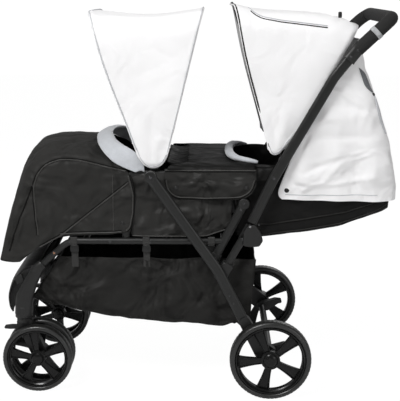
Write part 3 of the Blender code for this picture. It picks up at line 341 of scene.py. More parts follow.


# The pale cloth's glow is painted light that stands for daylight through the cloth
PALE_WEAVE = dict(roughness=0.8, pitch=0.0008, sheen=0.15, tint=(0.975, 1.01), bump=0.15, shine=0.25, painted_glow=0.06)
FINISH_TABLE = {
    # name: maker, user colour or plain one, share of it that is used, the maker's settings
    "black_cloth": (woven, "black_cloth", 1.0,
                    dict(roughness=0.6, bump=0.16, shine=0.15, folds=(0.04, 0.0042, 62, 0.06))),
    "satin": (woven, "black_cloth", 1.0, dict(roughness=0.5, bump=0.12, shine=0.17, folds=(0.062, 0.008, -8, 0.075))),
    # The next finish is the black cloth at a quarter of its colour: painted shade for the seat cloth that lies in
    # shadow inside and under the seats
    "dark_cloth": (woven, "black_cloth", 0.26,
                   dict(roughness=0.55, tint=(0.85, 1.2), shine=0.16, folds=(0.022, 0.0025, 12, 0.07))),
    "basket_cloth": (woven, "black_cloth", 0.75,
                     dict(roughness=0.55, tint=(0.85, 1.2), shine=0.14, folds=(0.06, 0.0105, 52, 0.085))),
    # The next finish is the black cloth at twice its colour and glossier: a painted highlight along the raised piping
    # and seams
    "black_piping": (woven, "black_cloth", 2.0,
                     dict(roughness=0.42, pitch=0.0012, tint=(0.8, 1.2), bump=0.3, shine=0.35)),
    "black_lining": (woven, "black_cloth", 0.35, dict(roughness=0.9, tint=(0.8, 1.2), shine=0.1)),
    "white_cloth": (woven, "white_cloth", 1.0, dict(PALE_WEAVE, folds=(0.009, 0.0006, -70, 0.08))),
    "loose_white": (woven, "white_cloth", 1.0, dict(PALE_WEAVE, folds=(0.03, 0.0052, 28, 0.085))),
    "white_lining": (woven, "white_cloth", 0.55, dict(roughness=0.85, sheen=0.1, tint=(0.95, 1.03))),
    "grey_piping": (woven, (0.55, 0.56, 0.58), 1.0, dict(roughness=0.8, sheen=0.1, tint=(0.9, 1.05))),
    "fleece": (fleece, "fleece", 1.0, {}),
    "tube_paint": (painted, "tube_paint", 1.0, {}),
    "black_plastic": (moulded, "plastic", 1.0, dict(roughness=0.42)),
    "wheel_plastic": (moulded, "wheel", 1.0, dict(roughness=0.24, grain=500.0, bump=0.05, shine=0.28)),
    "tyre": (moulded, "tyre", 1.0, dict(roughness=0.34, grain=900.0, bump=0.15, shine=0.6)),
    "steel": (metal, "metal", 1.0, {}),
    "dark_steel": (metal, (0.09, 0.09, 0.095), 1.0, {}),
    "copper": (metal, (0.42, 0.23, 0.15), 1.0, {}),
    "foam_grip": (foam, "plastic", 1.0, {}),
    "webbing": (webbing, "black_cloth", 0.85, {}),
    "ribbon": (webbing, "ribbon", 1.0, {}),
    "net": (mesh_fabric, (0.3, 0.31, 0.33), 1.0, {}),
}
FINISHES = {}


def finish(key):
    """The finish of that name, made on its first use."""
    if key not in FINISHES:
        maker, colour, share, settings = FINISH_TABLE[key]
        if isinstance(colour, str):
            colour = getattr(colours(), colour)
        FINISHES[key] = maker(key, tuple(share * c for c in colour), **settings)
    return FINISHES[key]


# Finishes of the frame's own nodes where they aren't called as their slot
SLOT_FINISH = {"grey_fleece": "fleece", "steel": "tube_paint"}


# Mesh helpers
def collection():
    found = bpy.data.collections.get("stroller")
    if not found:
        found = bpy.data.collections.new("stroller")
        bpy.context.scene.collection.children.link(found)
    return found


def piece(name, verts, faces, key, smooth=True):
    """A mesh object with a finish, its faces pointing out."""
    mesh = bpy.data.meshes.new(name)
    mesh.from_pydata([tuple(v) for v in verts], [], faces)
    bm = bmesh.new()
    bm.from_mesh(mesh)
    bmesh.ops.recalc_face_normals(bm, faces=bm.faces)
    bm.to_mesh(mesh)
    bm.free()
    made = bpy.data.objects.new(name, mesh)
    collection().objects.link(made)
    mesh.materials.append(finish(key))
    if smooth:
        mesh.shade_smooth()
    return made


def sharpen(obj, angle=40):
    """Keep the edges sharper than an angle crisp."""
    obj.data.set_sharp_from_angle(angle=radians(angle))
    return obj


def place(obj, body, slot, *nodes):
    """Seat a piece: its body, if it rides on one, and the frame nodes that it stands for, which are hidden. The slot is
    not used.
    """
    if body:
        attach(obj, body)
    if nodes:
        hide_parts(*nodes)
    return obj


def bend(corners, radius, steps=8):
    """A side-view path through corners, each corner but the ends rounded."""
    corners = [Vector(c) for c in corners]
    points = [corners[0]]
    for before, corner, after in zip(corners, corners[1:], corners[2:]):
        back, on = (before - corner).normalized(), (after - corner).normalized()
        half = back.angle(on) / 2
        reach = min(radius / tan(half), 0.45 * (before - corner).length, 0.45 * (after - corner).length)
        start, end = corner + back * reach, corner + on * reach
        for k in range(steps + 1):
            t = k / steps
            points.append(start * (1 - t) ** 2 + corner * 2 * t * (1 - t) + end * t ** 2)
    points.append(corners[-1])
    return points


def resample(points, count):
    """The same path as count points at even steps."""
    lengths = [0.0]
    for a, b in zip(points, points[1:]):
        lengths.append(lengths[-1] + (b - a).length)
    found, k = [], 0
    for step in range(count):
        at = lengths[-1] * step / (count - 1)
        while k < len(points) - 2 and lengths[k + 1] < at:
            k += 1
        share = (at - lengths[k]) / max(1e-9, lengths[k + 1] - lengths[k])
        found.append(points[k].lerp(points[k + 1], min(1.0, max(0.0, share))))
    return found


def ring_faces(rings, sides):
    """The side faces between rings of points that follow one another."""
    return [(k * sides + s, k * sides + (s + 1) % sides, (k + 1) * sides + (s + 1) % sides, (k + 1) * sides + s)
            for k in range(rings - 1) for s in range(sides)]


def loft(points, size, plane, sides=28, power=2.0, groove=0.0):
    """An oval section carried along a side-view path; size(share) gives its half height and half thickness."""
    verts = []
    count = len(points)
    for k, point in enumerate(points):
        along = (points[min(k + 1, count - 1)] - points[max(k - 1, 0)]).normalized()
        across = Vector((-along.y, along.x))
        high, thick = size(k / (count - 1))
        for s in range(sides):
            turn = 2 * pi * s / sides
            c, d = cos(turn), sin(turn)
            u = abs(c) ** (2 / power) * (1 if c >= 0 else -1)
            w = abs(d) ** (2 / power) * (1 if d >= 0 else -1)
            if groove and abs(c) < 0.12:
                w *= 1 - groove / thick
            spot = point + across * high * u
            verts.append((spot.x, plane + thick * w, spot.y))
    ends = [tuple(reversed(range(sides))), tuple(range((count - 1) * sides, count * sides))]
    return verts, ring_faces(count, sides) + ends


def turned(profile, steps, centre, axis="Y", wave=None):
    """A closed profile of (radius, reach) turned about an axis through centre."""
    verts, faces = [], []
    n = len(profile)
    for k in range(steps):
        turn = 2 * pi * k / steps
        for index, (r, h) in enumerate(profile):
            if wave:
                r = wave(k, index, r)
            a, b = r * cos(turn), r * sin(turn)
            spot = {"Y": (a, h, b), "Z": (a, b, h), "X": (h, a, b)}[axis]
            verts.append(Vector(spot) + Vector(centre))
    for k in range(steps):
        on = (k + 1) % steps
        for index in range(n):
            nxt = (index + 1) % n
            faces.append((k * n + index, k * n + nxt, on * n + nxt, on * n + index))
    return verts, faces


def merged(parts):
    """Several (verts, faces) as one."""
    verts, faces = [], []
    for more, cells in parts:
        start = len(verts)
        verts += list(more)
        faces += [tuple(i + start for i in cell) for cell in cells]
    return verts, faces


def outlined(outline, near, far):
    """A flat plate with a side-view outline between two planes."""
    n = len(outline)
    verts = [(x, near, z) for x, z in outline] + [(x, far, z) for x, z in outline]
    faces = [tuple(range(n)), tuple(reversed(range(n, 2 * n)))]
    faces += [(k, (k + 1) % n, n + (k + 1) % n, n + k) for k in range(n)]
    return verts, faces


def softened(outline, radius, steps=4):
    """A closed outline with its corners rounded."""
    return [tuple(p) for p in bend([outline[-1], *outline, outline[0]], radius, steps)[1:-1]]


def bevelled(obj, width, segments=2):
    """Round off the sharp edges."""
    made = obj.modifiers.new("Edges", "BEVEL")
    made.width, made.segments, made.limit_method, made.angle_limit = width, segments, "ANGLE", radians(35)
    return obj


def dome(x, z, plane, way, radius, rise, base=0.0):
    """A rivet's head on a side face: way is the side it stands out on."""
    profile = [(ON_AXIS, plane + way * rise), (radius * 0.55, plane + way * rise * 0.9),
               (radius * 0.9, plane + way * rise * 0.45), (radius, plane + way * base), (ON_AXIS, plane + way * base)]
    return turned(profile, 16, (x, 0.0, z))


def wires(name, paths, radius, key, resolution=3):
    """Round cords or bars along paths of 3D points, as one curve object."""
    curve = bpy.data.curves.new(name, "CURVE")
    curve.dimensions = "3D"
    curve.bevel_depth = radius
    curve.bevel_resolution = resolution
    curve.use_fill_caps = True
    for path in paths:
        spline = curve.splines.new("POLY")
        spline.points.add(len(path) - 1)
        for slot, point in zip(spline.points, path):
            slot.co = (*Vector(point), 1.0)
    made = bpy.data.objects.new(name, curve)
    collection().objects.link(made)
    curve.materials.append(finish(key))
    return made


def meshed(obj):
    """A curve piece turned into a mesh."""
    bpy.context.view_layer.update()
    mesh = bpy.data.meshes.new_from_object(obj.evaluated_get(bpy.context.evaluated_depsgraph_get()))
    name = obj.name
    bpy.data.objects.remove(obj)
    made = bpy.data.objects.new(name, mesh)
    collection().objects.link(made)
    return made


def smooth_line(knots, steps=8):
    """A smooth line through 3D points."""
    knots = [Vector(k) for k in knots]
    line = []
    for k in range(len(knots) - 1):
        before, a, b, after = knots[max(k - 1, 0)], knots[k], knots[k + 1], knots[min(k + 2, len(knots) - 1)]
        for step in range(steps):
            t = step / steps
            line.append(0.5 * (2 * a + (b - before) * t + (2 * before - 5 * a + 4 * b - after) * t ** 2
                               + (3 * a - before - 3 * b + after) * t ** 3))
    return line + [knots[-1]]


def smooth_plane(knots, steps=6):
    """A smooth side-view line through (X, Z) points."""
    return [Vector((p.x, p.y)) for p in smooth_line([(x, z, 0.0) for x, z in knots], steps)]


def swept(name, path, radius, flat, key, shift=None, sides=20):
    """A soft roll along a 3D path; radius(share) is its half width and flat its height's share of it."""
    verts = []
    last = len(path) - 1
    for k, point in enumerate(path):
        along = (path[min(k + 1, last)] - path[max(k - 1, 0)]).normalized()
        across = along.cross(Vector((0.0, 0.0, 1.0))).normalized()
        up = across.cross(along)
        r = radius(k / last)
        for s in range(sides):
            turn = 2 * pi * s / sides
            verts.append(point + across * r * cos(turn) + up * r * flat * sin(turn))
    ends = [tuple(range(sides)), tuple(range(last * sides, (last + 1) * sides))]
    made = piece(name, verts, ring_faces(last + 1, sides) + ends, key)
    return folded(made, shift) if shift else made


# Cloth helpers
def ramp(value, start, length):
    """How far a value has come from a start, from 0 to 1 over a length; a negative length runs down."""
    return min(1.0, max(0.0, (value - start) / length))


def grid(rows):
    """The points and faces of a sheet through rows of points."""
    across = len(rows[0])
    verts = [p for row in rows for p in row]
    faces = [(r * across + c, r * across + c + 1, (r + 1) * across + c + 1, (r + 1) * across + c)
             for r in range(len(rows) - 1) for c in range(across - 1)]
    return verts, faces


def baked(obj):
    """The object's mesh with its modifiers applied."""
    bpy.context.view_layer.update()
    mesh = bpy.data.meshes.new_from_object(obj.evaluated_get(bpy.context.evaluated_depsgraph_get()))
    obj.modifiers.clear()
    obj.data = mesh
    return obj


def folded(obj, shift):
    """Move each point along its normal by shift(point, normal)."""
    mesh = obj.data
    moves = [(v.co + v.normal * shift(v.co, v.normal)) for v in mesh.vertices]
    for vert, spot in zip(mesh.vertices, moves):
        vert.co = spot
    mesh.update()
    return obj


def cloth(name, rows, thick, key, levels=2, shift=None, lining=None, inside=None):
    """A smooth sewn sheet through rows of points, with its folds, its thickness inwards and a rolled edge.

    inside is a point on the sheet's inner side."""
    made = piece(name, *grid(rows), key)
    smooth = made.modifiers.new("Smooth", "SUBSURF")
    smooth.levels = smooth.render_levels = levels
    smooth.boundary_smooth = "PRESERVE_CORNERS"
    baked(made)
    mesh = made.data
    middle = Vector(inside) if inside else sum((v.co for v in mesh.vertices), Vector()) / len(mesh.vertices)
    facing = sum((p.normal.dot(p.center - middle) * p.area for p in mesh.polygons), 0.0)
    if facing < 0:
        mesh.flip_normals()
    if shift:
        folded(made, shift)
    made["flat_area"] = sum(p.area for p in mesh.polygons)
    if lining:
        mesh.materials.append(finish(lining))
    solid = made.modifiers.new("Cloth", "SOLIDIFY")
    solid.thickness, solid.offset = thick, -1.0
    if lining:
        solid.material_offset = 1
        solid.material_offset_rim = 0
    baked(made)
    made.data.shade_smooth()
    return made


def wrinkle(scale, depth, stretch=(1.0, 1.0, 1.0), seed=0.0):
    """Soft creases: ridged noise, longer along the axes with a small stretch."""
    def shift(co, _normal):
        at = Vector((co.x * stretch[0], co.y * stretch[1], co.z * stretch[2])) * scale + Vector((seed, 0.0, seed))
        return depth * (noise.noise(at) + 0.5 * noise.noise(at * 2.1 + Vector((3.1, 0.0, 0.0))))
    return shift


def crease(start, end, width, depth):
    """One fold from start to end in the side view: a rounded ridge, or a valley if depth is negative."""
    a, b = Vector(start), Vector(end)
    span = b - a

    def shift(co, _normal):
        at = Vector((co.x, co.z)) - a
        share = at.dot(span) / span.length_squared
        off = abs(at.x * span.y - at.y * span.x) / span.length
        if not -0.1 < share < 1.1 or off > width:
            return 0.0
        fade = max(0.0, sin(pi * ramp(share, 0.0, 1.0)))
        return depth * fade * (0.5 + 0.5 * cos(pi * off / width))
    return shift


def creases(table):
    """Folds from a table of their starts, ends, widths and depths."""
    return [crease(*row) for row in table]


def creases_along(path, width, depth):
    """Folds that follow a side-view path."""
    return [crease(a, b, width, depth) for a, b in zip(path, path[1:])]


def drawn(points, reach, depth, width):
    """Pulls that fan out from a sewn point: ridges along the rays from it, fading with distance."""
    def shift(co, _normal):
        total = 0.0
        for (x, z), turn, count in points:
            dx, dz = co.x - x, co.z - z
            far = sqrt(dx * dx + dz * dz)
            if 1e-4 < far < reach:
                ray = sin(count * (atan2(dz, dx) - turn))
                total += depth * ray * min(1.0, far / width) * (1 - far / reach) ** 1.2
        return total
    return shift


def summed(*shifts):
    """Several folds as one."""
    return lambda co, normal: sum(shift(co, normal) for shift in shifts)


def surface(obj):
    """A tree for finding points on an object's surface."""
    bpy.context.view_layer.update()
    return BVHTree.FromObject(obj, bpy.context.evaluated_depsgraph_get())


def on_side(tree, x, z, sign, proud=0.0):
    """The point of a surface met first from the side at a side-view place, or None."""
    spot, normal, _, _ = tree.ray_cast(Vector((x, sign * 0.6, z)), Vector((0.0, -sign, 0.0)))
    if spot is None:
        return None
    return spot + normal * proud


SEAM_STEPS = 40


def seam(name, obj, paths, radius, key, body, slot, proud=0.3, groove=0.0, soft=False):
    """Piping or a seam along side-view paths laid on both sides of a piece.

    groove is how far below the piping a dark line lies, sunk into the cloth, that paints the shade of the stitched
    groove; 0 leaves it out.
    soft makes it a mesh with a coarser section."""
    tree = surface(obj)
    lines, shades = [], []
    for path in paths:
        corners = bend(path, 0.05, 5) if len(path) > 2 else path
        points = resample([Vector(p) for p in corners], SEAM_STEPS)
        for sign in SIDES.values():
            for found, lower, raised in ((lines, 0.0, proud), (shades, groove, -0.35)):
                line = []
                for before, p, after in zip([points[0], *points], points, [*points[1:], points[-1]]):
                    way = (after - before).normalized()
                    aside = Vector((way.y, -way.x)) * lower
                    line.append(on_side(tree, p.x + aside.x, p.y + aside.y, sign, radius * raised))
                line = [p for p in line if p is not None]
                if len(line) > 1:
                    found.append(line)
    if groove:
        # Painted shade: a dark cord sunk into the cloth beside the piping
        place(wires(f"{name}_shade_line", shades, radius, "black_lining"), body, slot)
    made = wires(name, lines, radius, key, 1 if soft else 3)
    return place(meshed(made) if soft else made, body, slot)


def appliqued(name, obj, outer, inner, key, body):
    """A narrow padded strip between two side-view curves, laid on both sides of a piece."""
    tree = surface(obj)
    made = []
    for side, sign in SIDES.items():
        rows = []
        for a, b in zip(*(resample(smooth_plane(line), 14) for line in (outer, inner))):
            row = []
            for share in (0.0, 0.25, 0.5, 0.75, 1.0):
                spot = a.lerp(b, share)
                row.append(on_side(tree, spot.x, spot.y, sign, 0.0012 + 0.003 * sin(pi * share)))
            if None not in row:
                rows.append(row)
        sheet = cloth(f"{name}_{side}", rows, 0.001, key, 1, inside=(rows[0][0].x, 0.0, rows[0][0].z))
        made.append(place(sheet, body, "white_cloth"))
    return made


def snaps(name, obj, spots, radius, body):
    """Press studs on both sides of a piece."""
    tree = surface(obj)
    parts = []
    for x, z in spots:
        for sign in SIDES.values():
            at = on_side(tree, x, z, sign)
            if at is None:
                continue
            parts.append(dome(x, z, at.y, sign, radius, radius * 0.45, -radius * 0.3))
            ring = [(radius * 1.25, at.y + sign * radius * 0.12), (radius * 1.25, at.y - sign * 0.001),
                    (radius * 0.8, at.y - sign * 0.001), (radius * 0.8, at.y + sign * radius * 0.2)]
            parts.append(turned(ring, 20, (x, 0.0, z)))
    return place(piece(name, *merged(parts), "black_plastic"), body, "black_plastic")


def padding(name, low, high, crown, key, channels=(), cap=None):
    """A filled pad: a crowned closed form, swollen by a cloth simulation, then its sewn channels pressed in.

    channels are the channels' places as shares of half the length, and cap is how far the skin may swell."""
    low, high = Vector(low), Vector(high)
    size, middle = high - low, (high + low) / 2
    cap = cap or sizes().puff
    bm = bmesh.new()
    bmesh.ops.create_cube(bm, size=1.0)
    for axis, cuts in ((0, 13), (1, 11), (2, 2)):
        edges = [e for e in bm.edges if abs((e.verts[0].co - e.verts[1].co)[axis]) > 1e-6]
        bmesh.ops.subdivide_edges(bm, edges=edges, cuts=cuts, use_grid_fill=True)
    for vert in bm.verts:
        u, v, w = (2 * c for c in vert.co)
        swell = 1 - 0.06 * w * w
        rise = crown * (1 - u ** 4) * (1 - v ** 4)
        height = w * (size.z / 2 - cap * 0.45) + (rise - crown if w > 0 else 0.0)
        vert.co = (u * (size.x / 2 - cap * 0.5) * swell * (1 - 0.03 * (1 - abs(u)) * abs(v)),
                   v * (size.y / 2 - cap * 0.5) * swell * (1 - 0.04 * (1 - u * u)), height)
    mesh = bpy.data.meshes.new(name)
    bm.to_mesh(mesh)
    bm.free()
    made = bpy.data.objects.new(name, mesh)
    collection().objects.link(made)
    mesh.materials.append(finish(key))
    remesh = made.modifiers.new("Grid", "REMESH")
    remesh.mode, remesh.voxel_size = "VOXEL", sizes().voxel
    baked(made)
    rest = [v.co.copy() for v in made.data.vertices]
    sim = made.modifiers.new("Fill", "CLOTH")
    sim.settings.use_pressure = True
    sim.settings.uniform_pressure_force = 4.0
    sim.settings.effector_weights.gravity = 0.0
    for step in range(1, 21):
        bpy.context.scene.frame_set(step)
    baked(made)
    bpy.context.scene.frame_set(1)
    for vert, old in zip(made.data.vertices, rest):
        move = vert.co - old
        if move.length > cap:
            move = move.normalized() * cap
        vert.co = old + move
    smooth = made.modifiers.new("Smooth", "SUBSURF")
    smooth.levels = smooth.render_levels = 1
    baked(made)
    for vert in made.data.vertices:
        co = vert.co
        if co.z > -size.z * 0.2:
            for at in channels:
                off = abs(co.x - at * size.x / 2)
                if off < 0.012:
                    co.z -= 0.004 * (0.5 + 0.5 * cos(pi * off / 0.012)) * ramp(co.z, -size.z / 2, size.z)
        co.z = min(size.z / 2 + 0.004, max(-size.z / 2, co.z))
        co.x = min(size.x / 2, max(-size.x / 2, co.x))
        co.y = min(size.y / 2, max(-size.y / 2, co.y))
    made.data.shade_smooth()
    made.data.transform(Matrix.Translation(middle))
    return made


# Wheels
SPOKES = 5
SPOKE_SECTION = (
    # share of the spoke's half width, share of its thickness
    (-1.0, -1.0), (-1.0, 0.55), (-0.93, 1.0), (-0.8, 1.0), (-0.66, 0.15), (-0.3, 0.0),
    (0.3, 0.0), (0.66, 0.15), (0.8, 1.0), (0.93, 1.0), (1.0, 0.55), (1.0, -1.0),
)


def spoke(angle, radius, hub, rim, across, thick):
    """One flared spoke with raised edges, from the hub to the rim."""
    verts = []
    stations = 10
    for k in range(stations + 1):
        share = k / stations
        at = hub + (rim - hub) * share
        half = radius * (across[0] + (across[1] - across[0]) * share ** 1.7)
        lift = thick * (0.9 - 0.9 * share)
        for u, w in SPOKE_SECTION:
            verts.append((at, u * half, w * thick + lift))
    sides = len(SPOKE_SECTION)
    faces = ring_faces(stations + 1, sides)
    faces.append(tuple(reversed(range(sides))))
    faces.append(tuple(range(stations * sides, (stations + 1) * sides)))
    turn = Matrix.Rotation(angle, 4, "Z")
    return [turn @ Vector(v) for v in verts], faces


def wheel(name, body, radius, width, centre, outward, first):
    """A moulded rim with its hub and a ribbed tyre about a cross axle; outward is the side of its face."""
    seat, opening = radius * 0.862, radius * 0.775
    half = width * 0.38
    hub = radius * 0.235
    band = [(seat, half), (seat - 0.0015, half + 0.0018), (seat - 0.004, half + 0.0018),
            (opening + 0.003, half - 0.0035), (opening, half - 0.006), (opening, -half + 0.004),
            (opening + 0.003, -half), (seat, -half)]
    crown = width / 2 + 0.001
    boss = [(ON_AXIS, crown), (hub * 0.35, crown - 0.0006), (hub * 0.62, crown - 0.0025),
            (hub * 0.74, crown - 0.006), (hub * 0.78, crown - 0.0075), (hub, crown - 0.009),
            (hub, -0.008), (hub * 0.8, -width / 2), (ON_AXIS, -width / 2)]
    parts = [turned(band, 96, (0, 0, 0), "Z"), turned(boss, 48, (0, 0, 0), "Z")]
    for k in range(SPOKES):
        angle = first + 2 * pi * k / SPOKES
        parts.append(spoke(angle, radius, hub * 0.7, opening + 0.004, (0.082, 0.175), 0.0042))
    turn = Matrix.Translation(centre) @ Matrix.Rotation(pi / 2 * -outward, 4, "X")
    rim = sharpen(piece(f"{name}_rim_dressed", *merged(parts), "wheel_plastic"), 35)
    rim.data.transform(turn)
    place(rim, body, "wheel_plastic", f"{name}_rim")

    tread = radius - seat
    upper = [(seat, half - 0.001), (seat + 0.1 * tread, half + 0.0022), (seat + 0.3 * tread, width / 2 - 0.0003),
             (seat + 0.52 * tread, width / 2), (seat + 0.72 * tread, width / 2 * 0.93),
             (seat + 0.88 * tread, width / 2 * 0.8), (seat + 0.97 * tread, width / 2 * 0.58),
             (radius, width / 2 * 0.3)]
    profile = upper + [(r, -h) for r, h in reversed(upper)]
    last = len(profile)

    def ribbed(k, index, r):
        return r - (0.0007 if k % 4 == 0 and 4 < index < last - 5 else 0.0)

    tyre = piece(f"{name}_tyre_dressed", *turned(profile, 240, (0, 0, 0), "Z", ribbed), "tyre")
    tyre.data.transform(turn)
    place(tyre, body, "tyre", f"{name}_tyre")


class STROLLER_OT_wheels(bpy.types.Operator):
    """Build the rims and tyres"""
    bl_idname = "stroller.wheels"
    bl_label = "Wheels"

    def execute(self, context):
        for side, sign in SIDES.items():
            name = f"rear_wheel_{side}"
            centre = (REAR_AXLE[0], sign * REAR_PLANE, REAR_AXLE[1])
            wheel(name, name, 0.11, 0.034, centre, sign, radians(-103))
            for where, offset, first in (("outer", TWIN_HALF, 97), ("inner", -TWIN_HALF, 60)):
                facing = sign if where == "outer" else -sign
                centre = (FRONT_AXLE[0], sign * (CASTER_PLANE + offset), FRONT_AXLE[1])
                name = f"front_wheel_{side}_{where}"
                wheel(name, name, 0.095, 0.028, centre, facing, radians(first))
        return {"FINISHED"}


# Frame
def even(high, thick):
    """A section that stays the same along its path."""
    return lambda share: (high / 2, thick / 2)


def unit(start, end):
    return (Vector(end) - Vector(start)).normalized()


def disc(radius, near, far, steps, centre):
    """A plain round pin between two planes across the stroller."""
    return turned([(ON_AXIS, near), (radius, near), (radius, far), (ON_AXIS, far)], steps, centre)


def button(radius, face, half, lip, steps, centre):
    """A round cap with a bevelled rim: face is the radius of its flat."""
    return turned([(ON_AXIS, half), (face, half), (radius, lip), (radius, -lip), (face, -half), (ON_AXIS, -half)],
                  steps, centre)


def strip(name, body, slot, key, parts, nodes=(), bevel=0.0, angle=40):
    """Several crisp-edged parts as one piece."""
    made = sharpen(piece(name, *merged(parts), key), angle)
    if bevel:
        bevelled(made, bevel)
    return place(made, body, slot, *nodes)


class STROLLER_OT_tubes(bpy.types.Operator):
    """Build the side frames, uprights, rear legs, push bar and knee links"""
    bl_idname = "stroller.tubes"
    bl_label = "Tubes"

    def execute(self, context):
        for side, sign in SIDES.items():
            self.leg(side, sign)
            self.rail(side, sign)
            self.bar(side, sign)
            self.knee_stub(side, sign)
        self.uprights()
        return {"FINISHED"}

    def leg(self, side, sign):
        path = resample(bend([LEG_PIVOT, LEG_BEND, LEG_END], 0.2, 10), 40)
        tube = loft(path, even(*LEG_SECTION), sign * LEG_PLANE, power=2.6, groove=0.0008)
        head = button(0.0155, 0.0125, 0.0069, 0.0055, 40, (LEG_PIVOT[0], sign * LEG_PLANE, LEG_PIVOT[1]))
        strip(f"rear_leg_{side}_dressed", "rear_legs", "tube_paint", "tube_paint", [tube, head],
              (f"rear_leg_{side}",))

    def rail(self, side, sign):
        path = resample(bend([RAIL_REAR, RAIL_BEND, COLLAR], 0.06, 10), 40)
        tube = loft(path, even(*RAIL_SECTION), sign * UPRIGHT_PLANE)
        strip(f"side_frame_{side}_dressed", "seat_frame", "tube_paint", "tube_paint", [tube],
              (f"side_frame_{side}",))

    def bar(self, side, sign):
        end = Vector(KNEE) + unit(KNEE, BAR_PIVOT) * 0.004
        path = resample(bend([tuple(end), BAR_PIVOT, BAR_BEND, SLEEVE], 0.05, 8), 60)
        tube = loft(path, even(*BAR_SECTION), sign * BAR_PLANE, power=2.5, groove=0.0006)
        strip(f"push_bar_{side}_dressed", "push_bar", "tube_paint", "tube_paint", [tube], (f"push_bar_{side}",))

    def knee_stub(self, side, sign):
        """The knee link's tube, and the flat tongue that lets it fold beside the push bar."""
        knee, foot, down = Vector(KNEE), Vector(STUB_FOOT), unit(KNEE, STUB_FOOT)
        tube = loft([knee + down * 0.046, knee + down * 0.09, foot], even(*STUB_SECTION), sign * BAR_PLANE)
        tongue = loft([knee + down * 0.008, knee + down * 0.03, knee + down * 0.052], even(*TONGUE_SECTION),
                      sign * (BAR_PLANE - 0.0122), power=3.0)
        strip(f"knee_stub_{side}_dressed", "knee_links", "tube_paint", "tube_paint", [tube, tongue],
              (f"knee_stub_{side}",))

    def uprights(self):
        posts = []
        for sign in SIDES.values():
            posts.append(loft([Vector(UPRIGHT_FOOT), Vector(UPRIGHT_TOP)], even(*UPRIGHT_SECTION),
                              sign * UPRIGHT_PLANE, power=2.6))
        reach = UPRIGHT_PLANE - 0.002
        for (x, z), radius in ((RECLINE_TUBE, 0.006), (CROSS_TUBE, 0.008)):
            posts.append(disc(radius, reach, -reach, 24, (x, 0.0, z)))
        strip("rear_uprights_dressed", "seat_frame", "tube_paint", "tube_paint", posts, ("rear_uprights",))


LOCK_OUTLINE = ((0.126, 0.455), (0.138, 0.472), (0.157, 0.473), (0.171, 0.452), (0.1775, 0.43),
                (0.168, 0.4145), (0.15, 0.4125), (0.124, 0.415))


class STROLLER_OT_joints(bpy.types.Operator):
    """Build the moulded knee locks, boots, caps and sockets"""
    bl_idname = "stroller.joints"
    bl_label = "Moulded joints"

    def execute(self, context):
        locks, boots, caps, hubs = [], [], [], []
        lock, boot = softened(LOCK_OUTLINE, 0.009), self.boot_outline()
        foot, rise = Vector(UPRIGHT_FOOT), unit(UPRIGHT_FOOT, UPRIGHT_TOP)
        socket = [foot - rise * 0.014, foot + rise * 0.004, foot + rise * 0.024]
        inner_face = 0.1785
        for sign in SIDES.values():
            locks.append(outlined(lock, sign * (BAR_FACE - 0.0178), sign * (BAR_FACE + 0.0045)))
            boots.append(outlined(boot, sign * (BAR_PLANE - 0.0105), sign * (LEG_PLANE - 0.0073)))
            centre = (UPRIGHT_TOP[0], sign * UPRIGHT_PLANE, UPRIGHT_TOP[1])
            caps.append(button(0.0152, 0.0135, 0.0088, 0.007, 36, centre))
            caps.append(loft(socket, lambda s: (0.015 + 0.001 * (1 - s), 0.0086), sign * UPRIGHT_PLANE, power=2.8))
            for (x, z), outer in ((BAR_PIVOT, BAR_PLANE - 0.0092), (LEG_PIVOT, LEG_PLANE - 0.0072)):
                hubs.append(disc(0.0105, sign * outer, sign * inner_face, 28, (x, 0.0, z)))
        strip("knee_locks", "push_bar", "black_plastic", "black_plastic", locks, bevel=0.0016)
        strip("knee_boots", "knee_links", "black_plastic", "black_plastic", boots, bevel=0.002)
        strip("upright_caps", "seat_frame", "black_plastic", "black_plastic", caps, bevel=0.0008)
        strip("pivot_bosses", "seat_frame", "black_plastic", "black_plastic", hubs)
        return {"FINISHED"}

    def boot_outline(self):
        """The boot at the knee link's foot, in the link's own direction."""
        foot, down = Vector(STUB_FOOT), unit(KNEE, STUB_FOOT)
        aside = Vector((-down.y, down.x))
        corners = ((-0.034, 0.015), (-0.034, -0.0145), (0.016, -0.018), (0.024, 0.004), (0.002, 0.016))
        return softened([tuple(foot + down * along + aside * across) for along, across in corners], 0.006)


RIVETS = {
    # body and finish of each row, then for each rivet its place, its plane and its share of the rivets' radius
    ("push_bar", "steel"): [((0.1425, 0.469), BAR_FACE + 0.0045, 0.9)],
    ("push_bar", "dark_steel"): [((0.166, 0.4735), BAR_FACE, 0.5), ((0.204, 0.598), BAR_FACE, 0.9),
                                 ((0.3935, 0.9145), BAR_FACE + 0.004, 0.8), ((0.411, 0.9305), BAR_FACE + 0.004, 0.8)],
    ("rear_legs", "dark_steel"): [((-0.119, 0.604), LEG_FACE, 1.2), ((0.089, 0.281), LEG_FACE, 0.6),
                                  ((0.1, 0.259), LEG_FACE, 0.55)],
    ("knee_links", "dark_steel"): [((0.1235, 0.433), BAR_FACE, 0.8)],
    ("seat_frame", "dark_steel"): [((0.127, 0.526), UPRIGHT_FACE + 0.0008, 0.9), ((0.119, 0.508), UPRIGHT_FACE, 0.7),
                                   ((0.05, 0.374), UPRIGHT_FACE + 0.0006, 0.7), ((-0.341, 0.419), RAIL_FACE, 0.7),
                                   ((-0.232, 0.419), RAIL_FACE, 0.7), ((-0.125, 0.419), RAIL_FACE, 0.7)],
    ("seat_frame", "copper"): [((-0.3835, 0.388), RAIL_FACE - 0.0003, 0.9)],
}


